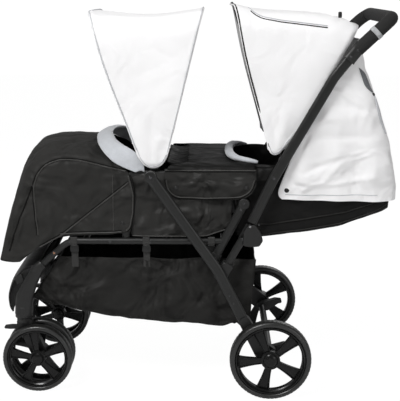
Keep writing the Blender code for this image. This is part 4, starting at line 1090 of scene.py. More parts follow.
class STROLLER_OT_rivets(bpy.types.Operator):
    """Set the rivets and screws with their washers"""
    bl_idname = "stroller.rivets"
    bl_label = "Rivets"

    def execute(self, context):
        for (body, key), spots in RIVETS.items():
            heads, rings = [], []
            for (x, z), plane, share in spots:
                radius = share * sizes().rivet
                for sign in SIDES.values():
                    heads.append(dome(x, z, sign * plane, sign, radius, radius * 0.5, -0.0015))
                    rings.append(self.washer(x, z, sign * plane, sign, radius))
            strip(f"rivets_{body}_{key}", body, "steel", key, heads)
            strip(f"washers_{body}_{key}", body, "black_plastic", "black_plastic", rings)
        return {"FINISHED"}

    def washer(self, x, z, face, sign, radius):
        profile = [(radius * 1.75, face - sign * 0.001), (radius * 1.75, face + sign * 0.0006),
                   (radius * 1.45, face + sign * 0.0011), (radius * 0.8, face + sign * 0.0004),
                   (radius * 0.8, face - sign * 0.001)]
        return turned(profile, 28, (x, 0.0, z))


class STROLLER_OT_handle(bpy.types.Operator):
    """Build the cross handle, its foam, sleeves and wrist ribbon"""
    bl_idname = "stroller.handle"
    bl_label = "Handle"

    def execute(self, context):
        rise = unit(BAR_BEND, SLEEVE)
        start = Vector(SLEEVE) + rise * 0.004
        points = self.path(start)
        place(wires("handle_tube", [points], 0.0105, "tube_paint", 5), "push_bar", "tube_paint", "handle_bar")
        left, right = points[0].lerp(points[1], 0.1), points[-1].lerp(points[-2], 0.1)
        grip = wires("handle_foam", [resample([left, *points[1:-1], right], 160)], 0.0172, "foam_grip", 6)
        place(grip, "push_bar", "foam_grip", "handle_grip")
        self.sleeves(rise)
        self.ribbon(start)
        return {"FINISHED"}

    def path(self, start):
        """The handle's middle line, up one arm, across and down the other, with rounded corners."""
        across = BAR_PLANE - 0.022
        knots = [Vector(p) for p in (
            (start.x, -BAR_PLANE, start.y), (HANDLE_CREST[0], -BAR_PLANE, HANDLE_CREST[1]),
            (HANDLE_BAR[0], -across, HANDLE_BAR[1]), (HANDLE_BAR[0], across, HANDLE_BAR[1]),
            (HANDLE_CREST[0], BAR_PLANE, HANDLE_CREST[1]), (start.x, BAR_PLANE, start.y))]
        points = [knots[0]]
        for a, b, c in zip(knots, knots[1:], knots[2:]):
            reach = min(0.06, 0.6 * (a - b).length, 0.45 * (c - b).length)
            first, last = b + (a - b).normalized() * reach, b + (c - b).normalized() * reach
            for k in range(9):
                t = k / 8
                points.append(first * (1 - t) ** 2 + b * 2 * t * (1 - t) + last * t ** 2)
        return points + [knots[-1]]

    def sleeves(self, rise):
        path = resample([Vector(SLEEVE) - rise * 0.022, Vector(SLEEVE) + rise * 0.02], 9)

        def swell(share):
            lip = 0.001 if share < 0.1 or share > 0.9 else 0.0
            return 0.0168 + lip, 0.013 + lip
        sleeves = [loft(path, swell, sign * BAR_PLANE, power=2.6) for sign in SIDES.values()]
        strip("handle_sleeves", "push_bar", "black_plastic", "black_plastic", sleeves, bevel=0.001)

    def ribbon(self, start):
        way = unit(start, HANDLE_CREST)
        at = start + way * 0.072
        radius, steps = 0.0184, 32
        loop = []
        for k in range(steps + 1):
            turn = 2 * pi * k / steps
            out = Vector((-way.y, way.x)) * radius * cos(turn)
            loop.append(Vector((at.x + out.x, -BAR_PLANE + radius * sin(turn), at.y + out.y)))
        rows = [[p + Vector((way.x, 0.0, way.y)) * off for p in loop] for off in (-0.0062, -0.002, 0.002, 0.0062)]
        band = cloth("wrist_ribbon", rows, 0.0012, "ribbon", levels=1, inside=(at.x, -BAR_PLANE, at.y))
        place(band, "push_bar", "grey_fleece", "wrist_strap")


FOOTREST_LINE = ((-0.44, 0.352), (-0.484, 0.336), (-0.514, 0.298), (-0.527, 0.256), (-0.522, 0.212))
FOOTREST_HALF = 0.1645
EAR_OUTLINE = ((-0.5, 0.312), (-0.478, 0.322), (-0.472, 0.3), (-0.492, 0.29))


class STROLLER_OT_legs(bpy.types.Operator):
    """Build the moulded lower legs and the footrest"""
    bl_idname = "stroller.legs"
    bl_label = "Lower legs"

    def execute(self, context):
        for side, sign in SIDES.items():
            self.leg(side, sign * CASTER_PLANE)
        self.footrest()
        return {"FINISHED"}

    def leg(self, side, plane):
        slope, top = unit(RAIL_BEND, COLLAR), Vector(COLLAR)
        path = resample(bend([tuple(top - slope * 0.004), (-0.45, 0.306), (-0.47, 0.262), (SWIVEL_X, 0.214)],
                             0.06, 8), 26)

        def size(share):
            wide = 0.015 + 0.0085 * min(1.0, share * 1.5) ** 1.3
            return wide, min(0.0225, 0.0135 + 0.009 * share)

        def collar_size(share):
            return (0.0142, 0.0142) if 0.1 < share < 0.9 else (0.0128, 0.0128)
        leg = loft(path, size, plane, power=2.7)
        foot = turned([(ON_AXIS, 0.2035), (0.0205, 0.2035), (0.0232, 0.206), (0.0232, 0.222), (0.0225, 0.236),
                       (ON_AXIS, 0.236)], 40, (SWIVEL_X, plane, 0.0), "Z")
        collar = loft([top + slope * along for along in (-0.02, -0.016, 0.012, 0.016)], collar_size, plane, power=2.5)
        strip(f"lower_leg_{side}_dressed", "seat_frame", "black_plastic", "black_plastic", [leg, foot, collar],
              (f"lower_leg_{side}",), bevel=0.0008, angle=50)

    def footrest(self):
        line = resample([Vector(p) for p in bend(FOOTREST_LINE, 0.05, 6)], 16)
        rows = []
        for k, p in enumerate(line):
            lip = 0.006 if k in (0, len(line) - 1) else 0.0
            rows.append([(p.x + 0.008 * abs(y) ** 6 + lip, y * FOOTREST_HALF, p.y)
                         for y in (-1, -0.94, -0.8, -0.4, 0, 0.4, 0.8, 0.94, 1)])
        rest = cloth("footrest_dressed", rows, 0.0045, "black_plastic", levels=2, inside=(-0.4, 0.0, 0.25))
        place(rest, "seat_frame", "black_plastic", "front_footrest")
        ears = [outlined(softened(EAR_OUTLINE, 0.004), sign * 0.158, sign * 0.1672) for sign in SIDES.values()]
        strip("footrest_ears", "seat_frame", "black_plastic", "black_plastic", ears, bevel=0.001)


# Cloth
SIDE_STEPS, ARC_STEPS, TOP_STEPS = 5, 5, 4


def hoop(foot, head, bulge, forward, sag):
    """A canopy's upside-down U from a left foot over a head to the right foot.

    bulge(share) moves the sides along the side view's normal, forward moves the middle of the top ahead,
    and sag lowers it."""
    along = Vector((head[0] - foot[0], head[1] - foot[1]))
    normal = Vector((-along.y, along.x)).normalized()
    length = along.length
    left = [(-HOOD_HALF, (length - HOOD_CORNER) * k / SIDE_STEPS) for k in range(SIDE_STEPS + 1)]
    for k in range(1, ARC_STEPS + 1):
        turn = pi / 2 * k / ARC_STEPS
        left.append((-HOOD_HALF + HOOD_CORNER * (1 - cos(turn)), length - HOOD_CORNER * (1 - sin(turn))))
    inner = HOOD_HALF - HOOD_CORNER
    middle = [(-inner + 2 * inner * k / (TOP_STEPS + 1), length) for k in range(1, TOP_STEPS + 1)]
    row = []
    for y, height in left + middle + [(-y, h) for y, h in reversed(left)]:
        share = height / length
        crown = max(0.0, 1 - (y / HOOD_HALF) ** 2)
        spot = Vector(foot) + along * share + normal * bulge(share)
        row.append((spot.x + forward * crown * share, y, spot.y - sag * crown * share))
    return row


def arch_row(station, half, side_steps=5):
    """One arch, from the left foot up a curved side to its shoulder, over the crown and down to the right foot."""
    foot, control, shoulder, crown = (Vector(p) for p in station)
    row = []
    for k in range(side_steps + 1):
        share = k / side_steps
        point = foot * (1 - share) ** 2 + control * 2 * share * (1 - share) + shoulder * share ** 2
        row.append((point.x, -half, point.y))
    for turn in (radians(20), radians(38), radians(55), radians(73)):
        point = shoulder.lerp(crown, sin(turn))
        row.append((point.x, -half * cos(turn), point.y))
    return mirrored(row + [(crown.x, 0.0, crown.y)])


def mirrored(half_row):
    """A row across the stroller from its left half, whose last point lies in the middle."""
    return half_row + [(x, -y, z) for x, y, z in reversed(half_row[:-1])]


# Feet and heads of the canopies' hoops from front to rear
FRONT_FEET = ((-0.161, 0.67), (-0.152, 0.645), (-0.138, 0.627), (-0.117, 0.619), (-0.099, 0.623),
              (-0.085, 0.634), (-0.076, 0.652))
FRONT_HEADS = ((-0.274, 1.024), (-0.235, 1.02), (-0.185, 1.016), (-0.13, 1.015), (-0.08, 1.018),
               (-0.03, 1.024), (0.0185, 1.03))
REAR_FEET = ((0.188, 0.676), (0.193, 0.662), (0.205, 0.656), (0.218, 0.66), (0.229, 0.672),
             (0.246, 0.696), (0.268, 0.728))
REAR_HEADS = ((0.101, 1.043), (0.14, 1.035), (0.185, 1.029), (0.24, 1.026), (0.3, 1.024),
              (0.365, 1.017), (0.422, 0.993))
# Where each canopy starts and ends to follow its front bow
VENT = ((0.14, 1.027), (0.15, 1.018), (0.168, 1.009), (0.217, 1.0), (0.269, 0.994), (0.336, 0.986))


def canopy_rows(feet, heads, lift, forward):
    """Rows of a canopy from its front edge to its rear one; the cloth dips between the bows."""
    rows = []
    last = len(feet) - 1
    for k, (foot, head) in enumerate(zip(feet, heads)):
        share = k / last
        edge = 1 - share

        def bulge(at, edge=edge):
            return lift * edge * sin(pi * at ** 1.5)
        dip = 0.004 * sin(pi * share) + (0.0 if k in (0, last) else 0.002)
        rows.append(hoop(foot, head, bulge, forward * edge, dip))
    return rows


def edge_line(row, ahead, up=0.0):
    """A canopy's edge as an even line, moved a little along X and Z."""
    return resample([Vector(p) + Vector((ahead, 0.0, up)) for p in row], 120)


def lower_hem(name, hood, feet, middle, inset):
    """The stitched line round a canopy's foot, set in from its edge."""
    ahead, behind = inset
    line = [(x + (ahead if x < middle else behind), z + 0.004) for x, z in feet]
    return seam(name, hood, [line], 0.0009, "grey_piping", None, "white_cloth", soft=True)


class STROLLER_OT_front_canopy(bpy.types.Operator):
    """Build the front canopy with its piping and bows"""
    bl_idname = "stroller.front_canopy"
    bl_label = "Front canopy"

    def execute(self, context):
        rows = canopy_rows(FRONT_FEET, FRONT_HEADS, 0.01, -0.018)
        folds = summed(wrinkle(7.0, 0.003, (1.2, 1.0, 0.7)), wrinkle(18.0, 0.0012, (1.2, 1.0, 0.6), 4.0),
                       drawn([((-0.117, 0.632), 0.4, 9.0)], 0.16, 0.0026, 0.05))
        hood = cloth("front_canopy_dressed", rows, sizes().cloth, "white_cloth", 2, folds, "white_lining",
                     (-0.12, 0.0, 0.8))
        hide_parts("front_canopy")
        front, rear = edge_line(rows[0], 0.0035), edge_line(rows[-1], -0.003, 0.0004)
        place(wires("front_canopy_piping", [front], sizes().piping, "grey_piping"), "front_bow", "white_cloth")
        place(wires("front_canopy_rear_piping", [rear], 0.0012, "grey_piping"), "seat_frame", "white_cloth")
        hem = lower_hem("front_canopy_hem", hood, FRONT_FEET, -0.117, (0.004, -0.004))
        for each in (hem, hood):
            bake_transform(each)
        return {"FINISHED"}


class STROLLER_OT_rear_canopy(bpy.types.Operator):
    """Build the rear canopy with its piping, vent and toggle"""
    bl_idname = "stroller.rear_canopy"
    bl_label = "Rear canopy"

    def execute(self, context):
        rows = canopy_rows(REAR_FEET, REAR_HEADS, 0.008, -0.012)

        def gathers(co, _normal):
            return 0.0022 * sin(co.x * 260.0) * ramp(co.x, 0.3, 0.06) * ramp(co.z, 0.93, 0.05)
        folds = summed(wrinkle(7.0, 0.0034, (1.2, 1.0, 0.8), 9.0), wrinkle(18.0, 0.0014, (1.2, 1.0, 0.7), 5.0),
                       gathers, drawn([((0.205, 0.668), 0.2, 8.0)], 0.18, 0.003, 0.05))
        hood = cloth("rear_canopy_dressed", rows, sizes().cloth, "white_cloth", 2, folds, "white_lining",
                     (0.25, 0.0, 0.8))
        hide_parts("rear_canopy")
        front = edge_line(rows[0], 0.004)
        place(wires("rear_canopy_piping", [front], sizes().piping * 1.25, "black_cloth"), "rear_bow", "black_cloth")
        # The vent's slit is a black cord laid on the white cloth: painted shade of its opening
        vent_shade_line = seam("rear_canopy_vent", hood, [VENT], 0.0016, "black_cloth", None, "black_cloth", proud=0.1,
                    soft=True)
        lip = seam("rear_canopy_vent_lip", hood, [[(x, z + 0.0045) for x, z in VENT]], 0.0014, "grey_piping", None,
                   "white_cloth", soft=True)
        hem = lower_hem("rear_canopy_hem", hood, REAR_FEET[:6], 0.205, (0.004, -0.002))
        for each in (hood, vent_shade_line, lip, hem, self.toggle()):
            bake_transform(each)
        return {"FINISHED"}

    def toggle(self):
        """The stub of the toggle that stands on the canopy's rear edge."""
        knob = turned([(ON_AXIS, 1.024), (0.0042, 1.0235), (0.005, 1.02), (0.005, 1.011), (0.0042, 1.008),
                       (ON_AXIS, 1.008)], 20, (0.377, -0.1, 0.0), "Z")
        return place(piece("rear_canopy_toggle", *knob, "black_plastic"), None, "black_plastic")


PANEL_LEVELS = (
    # height, front edge, back
    (0.536, 0.228, 0.545), (0.543, 0.2195, 0.5448), (0.556, 0.2165, 0.544), (0.58, 0.224, 0.54),
    (0.62, 0.24, 0.53), (0.68, 0.262, 0.515), (0.74, 0.29, 0.5), (0.8, 0.322, 0.479), (0.86, 0.357, 0.452),
    (0.91, 0.393, 0.435), (0.935, 0.407, 0.428), (0.955, 0.414, 0.424),
)
PANEL_CREASES = (
    # start, end, width, depth
    ((0.27, 0.6), (0.42, 0.66), 0.013, -0.005), ((0.31, 0.7), (0.47, 0.705), 0.014, -0.0045),
    ((0.35, 0.79), (0.46, 0.77), 0.012, -0.0035), ((0.3, 0.57), (0.5, 0.6), 0.012, 0.004),
)
# Outer and inner edges of the strips near the panel's back, from the top down
PANEL_WINDOW = (((0.42, 0.884), (0.436, 0.87), (0.449, 0.844), (0.46, 0.82)),
                ((0.419, 0.883), (0.427, 0.862), (0.438, 0.836), (0.458, 0.818)))
PANEL_ROLLED_EDGE = (((0.466, 0.808), (0.478, 0.778), (0.489, 0.744), (0.499, 0.709)),
                     ((0.465, 0.808), (0.471, 0.778), (0.481, 0.744), (0.497, 0.709)))


class STROLLER_OT_back_panel(bpy.types.Operator):
    """Build the white panel that hangs behind the push bar"""
    bl_idname = "stroller.back_panel"
    bl_label = "Back panel"

    def execute(self, context):
        def hang(co, _normal):
            low = ramp(co.z, 0.8, -0.25)
            return 0.0035 * low * sin(co.x * 70.0 + abs(co.y) * 55.0 + 5.0 * co.z) - 0.001 * low
        folds = summed(hang, wrinkle(8.0, 0.0045, (1.0, 1.0, 0.8), 2.0), wrinkle(19.0, 0.002, (0.6, 1.0, 1.5), 7.0),
                       *creases(PANEL_CREASES))
        panel = cloth("back_panel_dressed", self.rows(), sizes().cloth, "loose_white", 3, folds, "white_lining",
                      (0.36, 0.0, 0.7))
        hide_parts("rear_back_panel")
        hem = [(0.236, 0.549), (0.3, 0.549), (0.4, 0.549), (0.48, 0.549)]
        line = seam("back_panel_hem", panel, [hem], sizes().seam, "grey_piping", "push_bar", "white_cloth", soft=True)
        studs = snaps("back_panel_snaps", panel, [(0.24, 0.561)], 0.0052, "push_bar")
        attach(panel, "push_bar")
        patches = [*appliqued("panel_window", panel, *PANEL_WINDOW, "net", "push_bar"),
                   *appliqued("panel_rolled_edge", panel, *PANEL_ROLLED_EDGE, "grey_piping", "push_bar")]
        stud = snaps("panel_flap_snap", panel, [(0.462, 0.813)], 0.004, "push_bar")
        for each in (panel, line, studs, stud, *patches):
            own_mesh(each)
        return {"FINISHED"}

    def rows(self):
        half, corner = HOOD_HALF - 0.001, 0.055
        rows = []
        for height, front, back in PANEL_LEVELS:
            reach = back - front
            curve = min(corner, reach * 0.8)
            drop = 0.006 if height < 0.55 else 0.0
            row = [(front + (reach - curve) * k / 6, -half, height - drop * k / 6) for k in range(7)]
            for k in range(1, 5):
                turn = pi / 8 * k
                row.append((back - curve * (1 - sin(turn)), -half + curve * (1 - cos(turn)), height - drop))
            row += [(back, y * (half - curve), height - drop) for y in (-0.6, -0.2)]
            rows.append(row + [(x, -y, z) for x, y, z in reversed(row)])
        return rows


COVER_STATIONS = (
    # hem point, control point of the side's curve, shoulder, crown point
    ((-0.477, 0.362), (-0.506, 0.358), (-0.531, 0.366), (-0.537, 0.37)),
    ((-0.451, 0.384), (-0.489, 0.408), (-0.513, 0.443), (-0.523, 0.459)),
    ((-0.415, 0.409), (-0.454, 0.459), (-0.476, 0.52), (-0.496, 0.562)),
    ((-0.381, 0.429), (-0.42, 0.51), (-0.439, 0.593), (-0.469, 0.64)),
    ((-0.345, 0.435), (-0.385, 0.54), (-0.404, 0.633), (-0.44, 0.672)),
    ((-0.31, 0.437), (-0.345, 0.55), (-0.363, 0.643), (-0.396, 0.683)),
    ((-0.265, 0.439), (-0.3, 0.55), (-0.315, 0.64), (-0.341, 0.684)),
    ((-0.222, 0.44), (-0.242, 0.55), (-0.262, 0.633), (-0.298, 0.683)),
    ((-0.178, 0.446), (-0.147, 0.55), (-0.18, 0.613), (-0.258, 0.679)),
)
COLLAR_EDGES = (
    # foot, control point, shoulder, crown point
    ((-0.16, 0.61), (-0.185, 0.618), (-0.216, 0.634), (-0.28, 0.686)),
    ((-0.1555, 0.612), (-0.176, 0.626), (-0.204, 0.644), (-0.272, 0.6935)),
    ((-0.149, 0.614), (-0.162, 0.633), (-0.188, 0.657), (-0.256, 0.701)),
    ((-0.142, 0.613), (-0.145, 0.638), (-0.172, 0.666), (-0.242, 0.702)),
    ((-0.137, 0.609), (-0.132, 0.636), (-0.162, 0.666), (-0.235, 0.695)),
)
COLLAR_HALVES = (0.187, 0.187, 0.1845, 0.182, 0.1805)
COVER_BOW = ((-0.188, 0.612), (-0.228, 0.621), (-0.307, 0.64), (-0.359, 0.643), (-0.4, 0.629), (-0.422, 0.602),
             (-0.433, 0.572), (-0.432, 0.534), (-0.429, 0.479), (-0.425, 0.438))
COVER_DIAGONAL = ((-0.18, 0.582), (-0.361, 0.438), (-0.422, 0.404))
COVER_GULLY = ((-0.437, 0.572), (-0.452, 0.533), (-0.473, 0.484), (-0.491, 0.437), (-0.505, 0.392))
COVER_REAR_EDGE = ((-0.188, 0.45), (-0.178, 0.46), (-0.17, 0.5), (-0.168, 0.55), (-0.18, 0.6))
COVER_HEM = ((-0.2, 0.4465), (-0.3, 0.4435), (-0.365, 0.4405))
COVER_CREASES = (
    # start, end, width, depth
    ((-0.476, 0.4), (-0.447, 0.52), 0.012, -0.0045), ((-0.49, 0.4), (-0.462, 0.5), 0.01, 0.004),
    ((-0.425, 0.4), (-0.405, 0.56), 0.012, 0.004), ((-0.366, 0.602), (-0.305, 0.507), 0.011, -0.004),
    ((-0.389, 0.562), (-0.378, 0.47), 0.011, -0.0035), ((-0.385, 0.44), (-0.375, 0.52), 0.012, -0.003),
    ((-0.33, 0.48), (-0.26, 0.56), 0.012, -0.002), ((-0.42, 0.65), (-0.27, 0.655), 0.012, 0.0035),
    ((-0.4, 0.672), (-0.29, 0.67), 0.012, -0.0025),
)


class STROLLER_OT_leg_cover(bpy.types.Operator):
    """Build the black foot cover with its seams, and the fleece collar"""
    bl_idname = "stroller.leg_cover"
    bl_label = "Foot cover"

    def execute(self, context):
        rows = [arch_row(station, COVER_HALF - 0.001) for station in COVER_STATIONS]
        folds = summed(wrinkle(7.0, 0.0042, (1.0, 1.0, 0.6), 1.0), wrinkle(17.0, 0.0022, (1.3, 1.0, 0.5), 3.0),
                       wrinkle(40.0, 0.0007, (1.0, 1.0, 0.6), 8.0), *creases_along(COVER_BOW, 0.011, -0.005),
                       *creases_along(COVER_DIAGONAL, 0.01, -0.0034), *creases_along(COVER_GULLY, 0.013, -0.008),
                       *creases(COVER_CREASES),
                       drawn([((-0.197, 0.6), 0.3, 9.0), ((-0.2, 0.47), 1.0, 7.0)], 0.1, 0.003, 0.03))
        cover = cloth("leg_cover_dressed", rows, sizes().cover, "black_cloth", 3, folds, "black_lining",
                      (-0.33, 0.0, 0.5))
        place(cover, "seat_frame", "black_cloth", "front_leg_cover")
        seam("leg_cover_piping", cover, [COVER_BOW, COVER_DIAGONAL, COVER_REAR_EDGE, COVER_HEM], sizes().piping,
             "black_piping", "seat_frame", "black_cloth", groove=PIPING_SHADE_DROP)
        seam("leg_cover_seams", cover, [[(-0.222, 0.45), (-0.222, 0.6)]], sizes().seam, "black_piping", "seat_frame",
             "black_cloth")
        # A dark cord sunk along the gully's crease: painted shade in the fold
        seam("leg_cover_gully_shade", cover, [COVER_GULLY], 0.0022, "black_lining", "seat_frame", "black_cloth", proud=-0.2)
        snaps("leg_cover_snaps", cover, [(-0.1975, 0.47)], 0.0048, "seat_frame")
        self.collar()
        return {"FINISHED"}

    def collar(self):
        """The turned-back fleece edge: a padded band round the opening."""
        rows = [arch_row(edge, half, 3) for edge, half in zip(COLLAR_EDGES, COLLAR_HALVES)]
        collar = cloth("front_collar_dressed", rows, 0.007, "fleece", 2, wrinkle(22.0, 0.0016),
                       inside=(-0.15, 0.0, 0.55))
        place(collar, "seat_frame", "grey_fleece", "front_collar")


TUB_STATIONS = (
    # place along the stroller, height of the wall's top
    (-0.398, 0.56), (-0.34, 0.592), (-0.25, 0.594), (-0.17, 0.596), (-0.13, 0.6), (-0.095, 0.602), (-0.06, 0.603),
    (-0.02, 0.603), (0.025, 0.603), (0.06, 0.603), (0.0862, 0.603),
)
TUB_WALL, TUB_FLOOR = 0.1636, 0.4292
TUB_BULGE = ((1.0, 0.0), (0.85, 0.003), (0.6, 0.0055), (0.4, 0.0055), (0.2, 0.003), (0.07, 0.0))
POD_START, POD_LENGTH = -0.176, 0.271
POD_FOOT, POD_TOP = 0.432, 0.608
POD_PLANE = 0.1815
KNEE_COVER_HEIGHT = 0.6275
FLAP_MIDDLE, FLAP_REACH = 0.0375, 0.1215
FLAP_TOP, FLAP_FOOT = 0.619, 0.535
FLAP_PLANE = 0.185
FLAP_EDGE = ((-0.08, 0.59), (-0.076, 0.562), (-0.055, 0.543), (0.03, 0.5395), (0.12, 0.5425), (0.146, 0.56),
             (0.154, 0.59))
FLAP_CREASES = (
    # start, end, width, depth
    ((-0.05, 0.57), (-0.01, 0.605), 0.01, -0.0026), ((-0.046, 0.56), (0.0, 0.585), 0.008, 0.002),
    ((0.118, 0.565), (0.085, 0.6), 0.01, -0.0022),
)
FLEECE_ROLL = ((0.163, -0.1625, 0.634), (0.138, -0.158, 0.638), (0.112, -0.137, 0.6395), (0.096, -0.097, 0.64),
               (0.09, -0.04, 0.64), (0.09, 0.04, 0.639), (0.096, 0.097, 0.637), (0.11, 0.137, 0.635),
               (0.128, 0.156, 0.632), (0.146, 0.16, 0.628))
SHELL_STATIONS = (
    # place along the stroller, height of the underside, height of the wall's top
    (0.107, 0.424, 0.622), (0.14, 0.422, 0.627), (0.18, 0.42, 0.629), (0.23, 0.424, 0.622), (0.279, 0.431, 0.604),
    (0.33, 0.44, 0.589), (0.387, 0.45, 0.592), (0.43, 0.463, 0.595), (0.472, 0.477, 0.598), (0.5, 0.487, 0.6),
    (0.514, 0.498, 0.6),
)
SHELL_SEAMS = (
    ((0.112, 0.436), (0.18, 0.434), (0.279, 0.446), (0.387, 0.466), (0.475, 0.498), (0.512, 0.522)),
    ((0.13, 0.462), (0.2, 0.464), (0.3, 0.48), (0.4, 0.498), (0.475, 0.524), (0.508, 0.548)),
)


class STROLLER_OT_seat_body(bpy.types.Operator):
    """Build the seat tubs, the padded sides, the pocket flaps and the reclined shell"""
    bl_idname = "stroller.seat_body"
    bl_label = "Seat body"

    def execute(self, context):
        self.tub()
        for side, sign in SIDES.items():
            self.pod_side(side, sign)
        self.knee_cover()
        for side, sign in SIDES.items():
            self.flap(side, sign)
        self.fleece_roll()
        for side, sign in SIDES.items():
            self.rail_sleeve(side, sign)
        self.shell()
        return {"FINISHED"}

    def tub(self):
        rows = []
        for x, top in TUB_STATIONS:
            side = [(x, -TUB_WALL - out, TUB_FLOOR + (top - TUB_FLOOR) * share) for share, out in TUB_BULGE]
            base = [(x, y, TUB_FLOOR) for y in (-TUB_WALL + 0.012, -0.08, 0.0)]
            rows.append(mirrored(side + base))
        wear = wrinkle(14.0, 0.0028, (1.0, 1.0, 0.7), 6.0)

        def drape(co, normal):
            if abs(normal.y) < 0.5:
                return wear(co, normal)
            low = sin(pi * ramp(co.z, 0.43, 0.16))
            rib = sin(34.0 * co.x + 46.0 * co.z) + 0.6 * sin(62.0 * co.x - 80.0 * co.z + 1.0)
            return min(-0.0015, low * 0.0028 * rib - 0.003 + wear(co, normal))
        tub = cloth("seat_tub", rows, 0.004, "dark_cloth", 2, drape, inside=(-0.15, 0.0, 0.56))
        place(tub, "seat_frame", "black_cloth", "front_tub", "rear_tub")

    def pod_side(self, side, sign):
        """The satin cloth outside an upper rail, slack between the foot cover and the rear seat."""
        rows = []
        for k in range(13):
            x = POD_START + POD_LENGTH * k / 12
            tucked_front = 1 - min(1.0, (x - POD_START) / 0.03)
            tuck = ramp(x, 0.02, 0.02)
            low = POD_FOOT + 0.022 * tuck ** 2 * ramp(x, 0.03, 0.06)
            row = []
            for share in (0.0, 0.06, 0.2, 0.36, 0.52, 0.68, 0.84, 0.94, 1.0):
                under = ramp(x, -0.1, 0.025) * ramp(share, 0.5, 0.08)
                out = POD_PLANE + (0.006 * sin(pi * share) ** 0.7) * (1 - under) - 0.001 * under
                out -= tuck * (0.0115 + 0.005 * sin(pi * share)) + 0.0075 * tucked_front
                if share == 1.0:
                    out -= 0.004
                row.append((x, sign * out, low + (POD_TOP - low) * share))
            rows.append(row)
        folds = summed(drawn([((-0.119, 0.6), 0.2, 8.0), ((-0.175, 0.44), 0.5, 6.0), ((0.02, 0.45), 0.9, 6.0)],
                             0.15, 0.0042, 0.04),
                       wrinkle(10.0, 0.0062, (1.0, 1.0, 1.5), 60.0), wrinkle(22.0, 0.0028, (1.0, 1.0, 1.6), 61.0),
                       crease((-0.15, 0.505), (-0.02, 0.52), 0.014, -0.005),
                       crease((-0.04, 0.48), (0.045, 0.5), 0.012, 0.0045),
                       crease((-0.03, 0.525), (0.06, 0.512), 0.013, -0.005))

        def held_in(co, normal):
            """The folds, kept flat at the sewn edges and under the flap."""
            rim = ramp(co.z, 0.436, 0.025) * ramp(co.z, 0.6, -0.02) * ramp(co.x, -0.172, 0.03)
            free = ramp(co.x, 0.04, -0.03) * (1 - ramp(co.x, -0.105, 0.02) * ramp(co.z, 0.515, 0.02))
            return max(-0.0045 * free - 0.001, min(0.0075 * free + 0.001, folds(co, normal))) * rim
        pod = cloth(f"pod_side_{side}", rows, 0.0022, "satin", 3, held_in, "black_lining", (-0.05, 0.0, 0.52))
        place(pod, "seat_frame", "black_cloth")
        foot = [(-0.172, 0.4345), (-0.06, 0.4345), (0.03, 0.435), (0.085, 0.452)]
        seam(f"pod_side_piping_{side}", pod, [foot], sizes().piping, "black_piping", "seat_frame", "black_cloth")

    def knee_cover(self):
        """The flat cover over the rear child's knees."""
        rows = []
        for k in range(9):
            share = k / 8
            row = []
            for y in (-0.1858, -0.1845, -0.178, -0.164, -0.148, -0.12, -0.085, -0.045, 0.0):
                off = abs(y)
                start = -0.026 if off < 0.15 else -0.026 - 0.05 * min(1.0, (off - 0.15) / 0.03)
                end = 0.1 + 0.058 * (off / 0.16) ** 5 if off < 0.16 else 0.158
                lift = 0.004 * (1 - (off / 0.186) ** 2)
                drop = 0.0115 if off > 0.185 else 0.0055 if off > 0.184 else 0.0015 if off > 0.17 else 0.0
                row.append((start + (end - start) * share, y, KNEE_COVER_HEIGHT + lift - drop))
            rows.append(mirrored(row))
        folds = summed(wrinkle(11.0, 0.0022, (0.7, 1.4, 1.0), 40.0), wrinkle(25.0, 0.001, (0.7, 1.2, 1.0), 41.0))
        # The knee cover uses the darkened black cloth: painted shade
        top = cloth("rear_knee_cover", rows, 0.003, "dark_cloth", 2, folds, "black_lining", (0.03, 0.0, 0.5))
        place(top, "seat_frame", "black_cloth", "rear_cover")

    def flap(self, side, sign):
        """A snapped flap that hangs from the knee cover."""
        rows = []
        for share in (0.0, 0.08, 0.3, 0.6, 0.88, 1.0):
            out = FLAP_PLANE + 0.0032 * sin(pi * min(1.0, share * 1.1))
            row = []
            for u in (-1, -0.95, -0.8, -0.5, -0.2, 0.1, 0.4, 0.7, 0.88, 0.96, 1):
                low = FLAP_FOOT + 0.04 * max(0.0, (abs(u) - 0.72) / 0.28) ** 2
                row.append((FLAP_MIDDLE + u * FLAP_REACH, sign * (out - 0.0012 * u * u),
                            FLAP_TOP + (low - FLAP_TOP) * share))
            rows.append(row)
        folds = summed(wrinkle(13.0, 0.0022, (1.0, 1.0, 1.0), 12.0 + sign), wrinkle(30.0, 0.0009, (0.7, 1.0, 1.2), 2.0),
                       *creases(FLAP_CREASES))
        flap = cloth(f"knee_flap_{side}", rows, 0.0022, "satin", 3, folds, "black_lining", (0.03, 0.0, 0.58))
        place(flap, "seat_frame", "black_cloth")
        seam(f"knee_flap_piping_{side}", flap, [FLAP_EDGE, [(-0.082, 0.615), (0.156, 0.615)]], sizes().piping,
             "black_piping", "seat_frame", "black_cloth", groove=PIPING_SHADE_DROP)
        snaps(f"knee_flap_snaps_{side}", flap, [(-0.054, 0.568), (0.133, 0.568)], 0.005, "seat_frame")

    def fleece_roll(self):
        path = resample(smooth_line(FLEECE_ROLL), 90)
        roll = swept("rear_fleece_roll", path, lambda s: 0.003 + 0.0095 * sin(pi * s) ** 0.6, 0.85, "fleece",
                     wrinkle(26.0, 0.0012))
        place(roll, "seat_frame", "grey_fleece", "rear_collar")

    def rail_sleeve(self, side, sign):
        """The cloth sleeve round an upper rail beside the rear seat."""
        section = ((0.179, 0.586), (0.1805, 0.596), (0.1806, 0.608), (0.179, 0.618), (0.174, 0.6215), (0.167, 0.622))
        rows = [[(x, sign * y, z) for y, z in section] for x in (0.14, 0.158, 0.176, 0.192, 0.208)]
        sleeve = cloth(f"rail_sleeve_{side}", rows, 0.0014, "dark_cloth", 2, inside=(0.17, sign * 0.172, 0.604))
        place(sleeve, "seat_frame", "black_cloth")

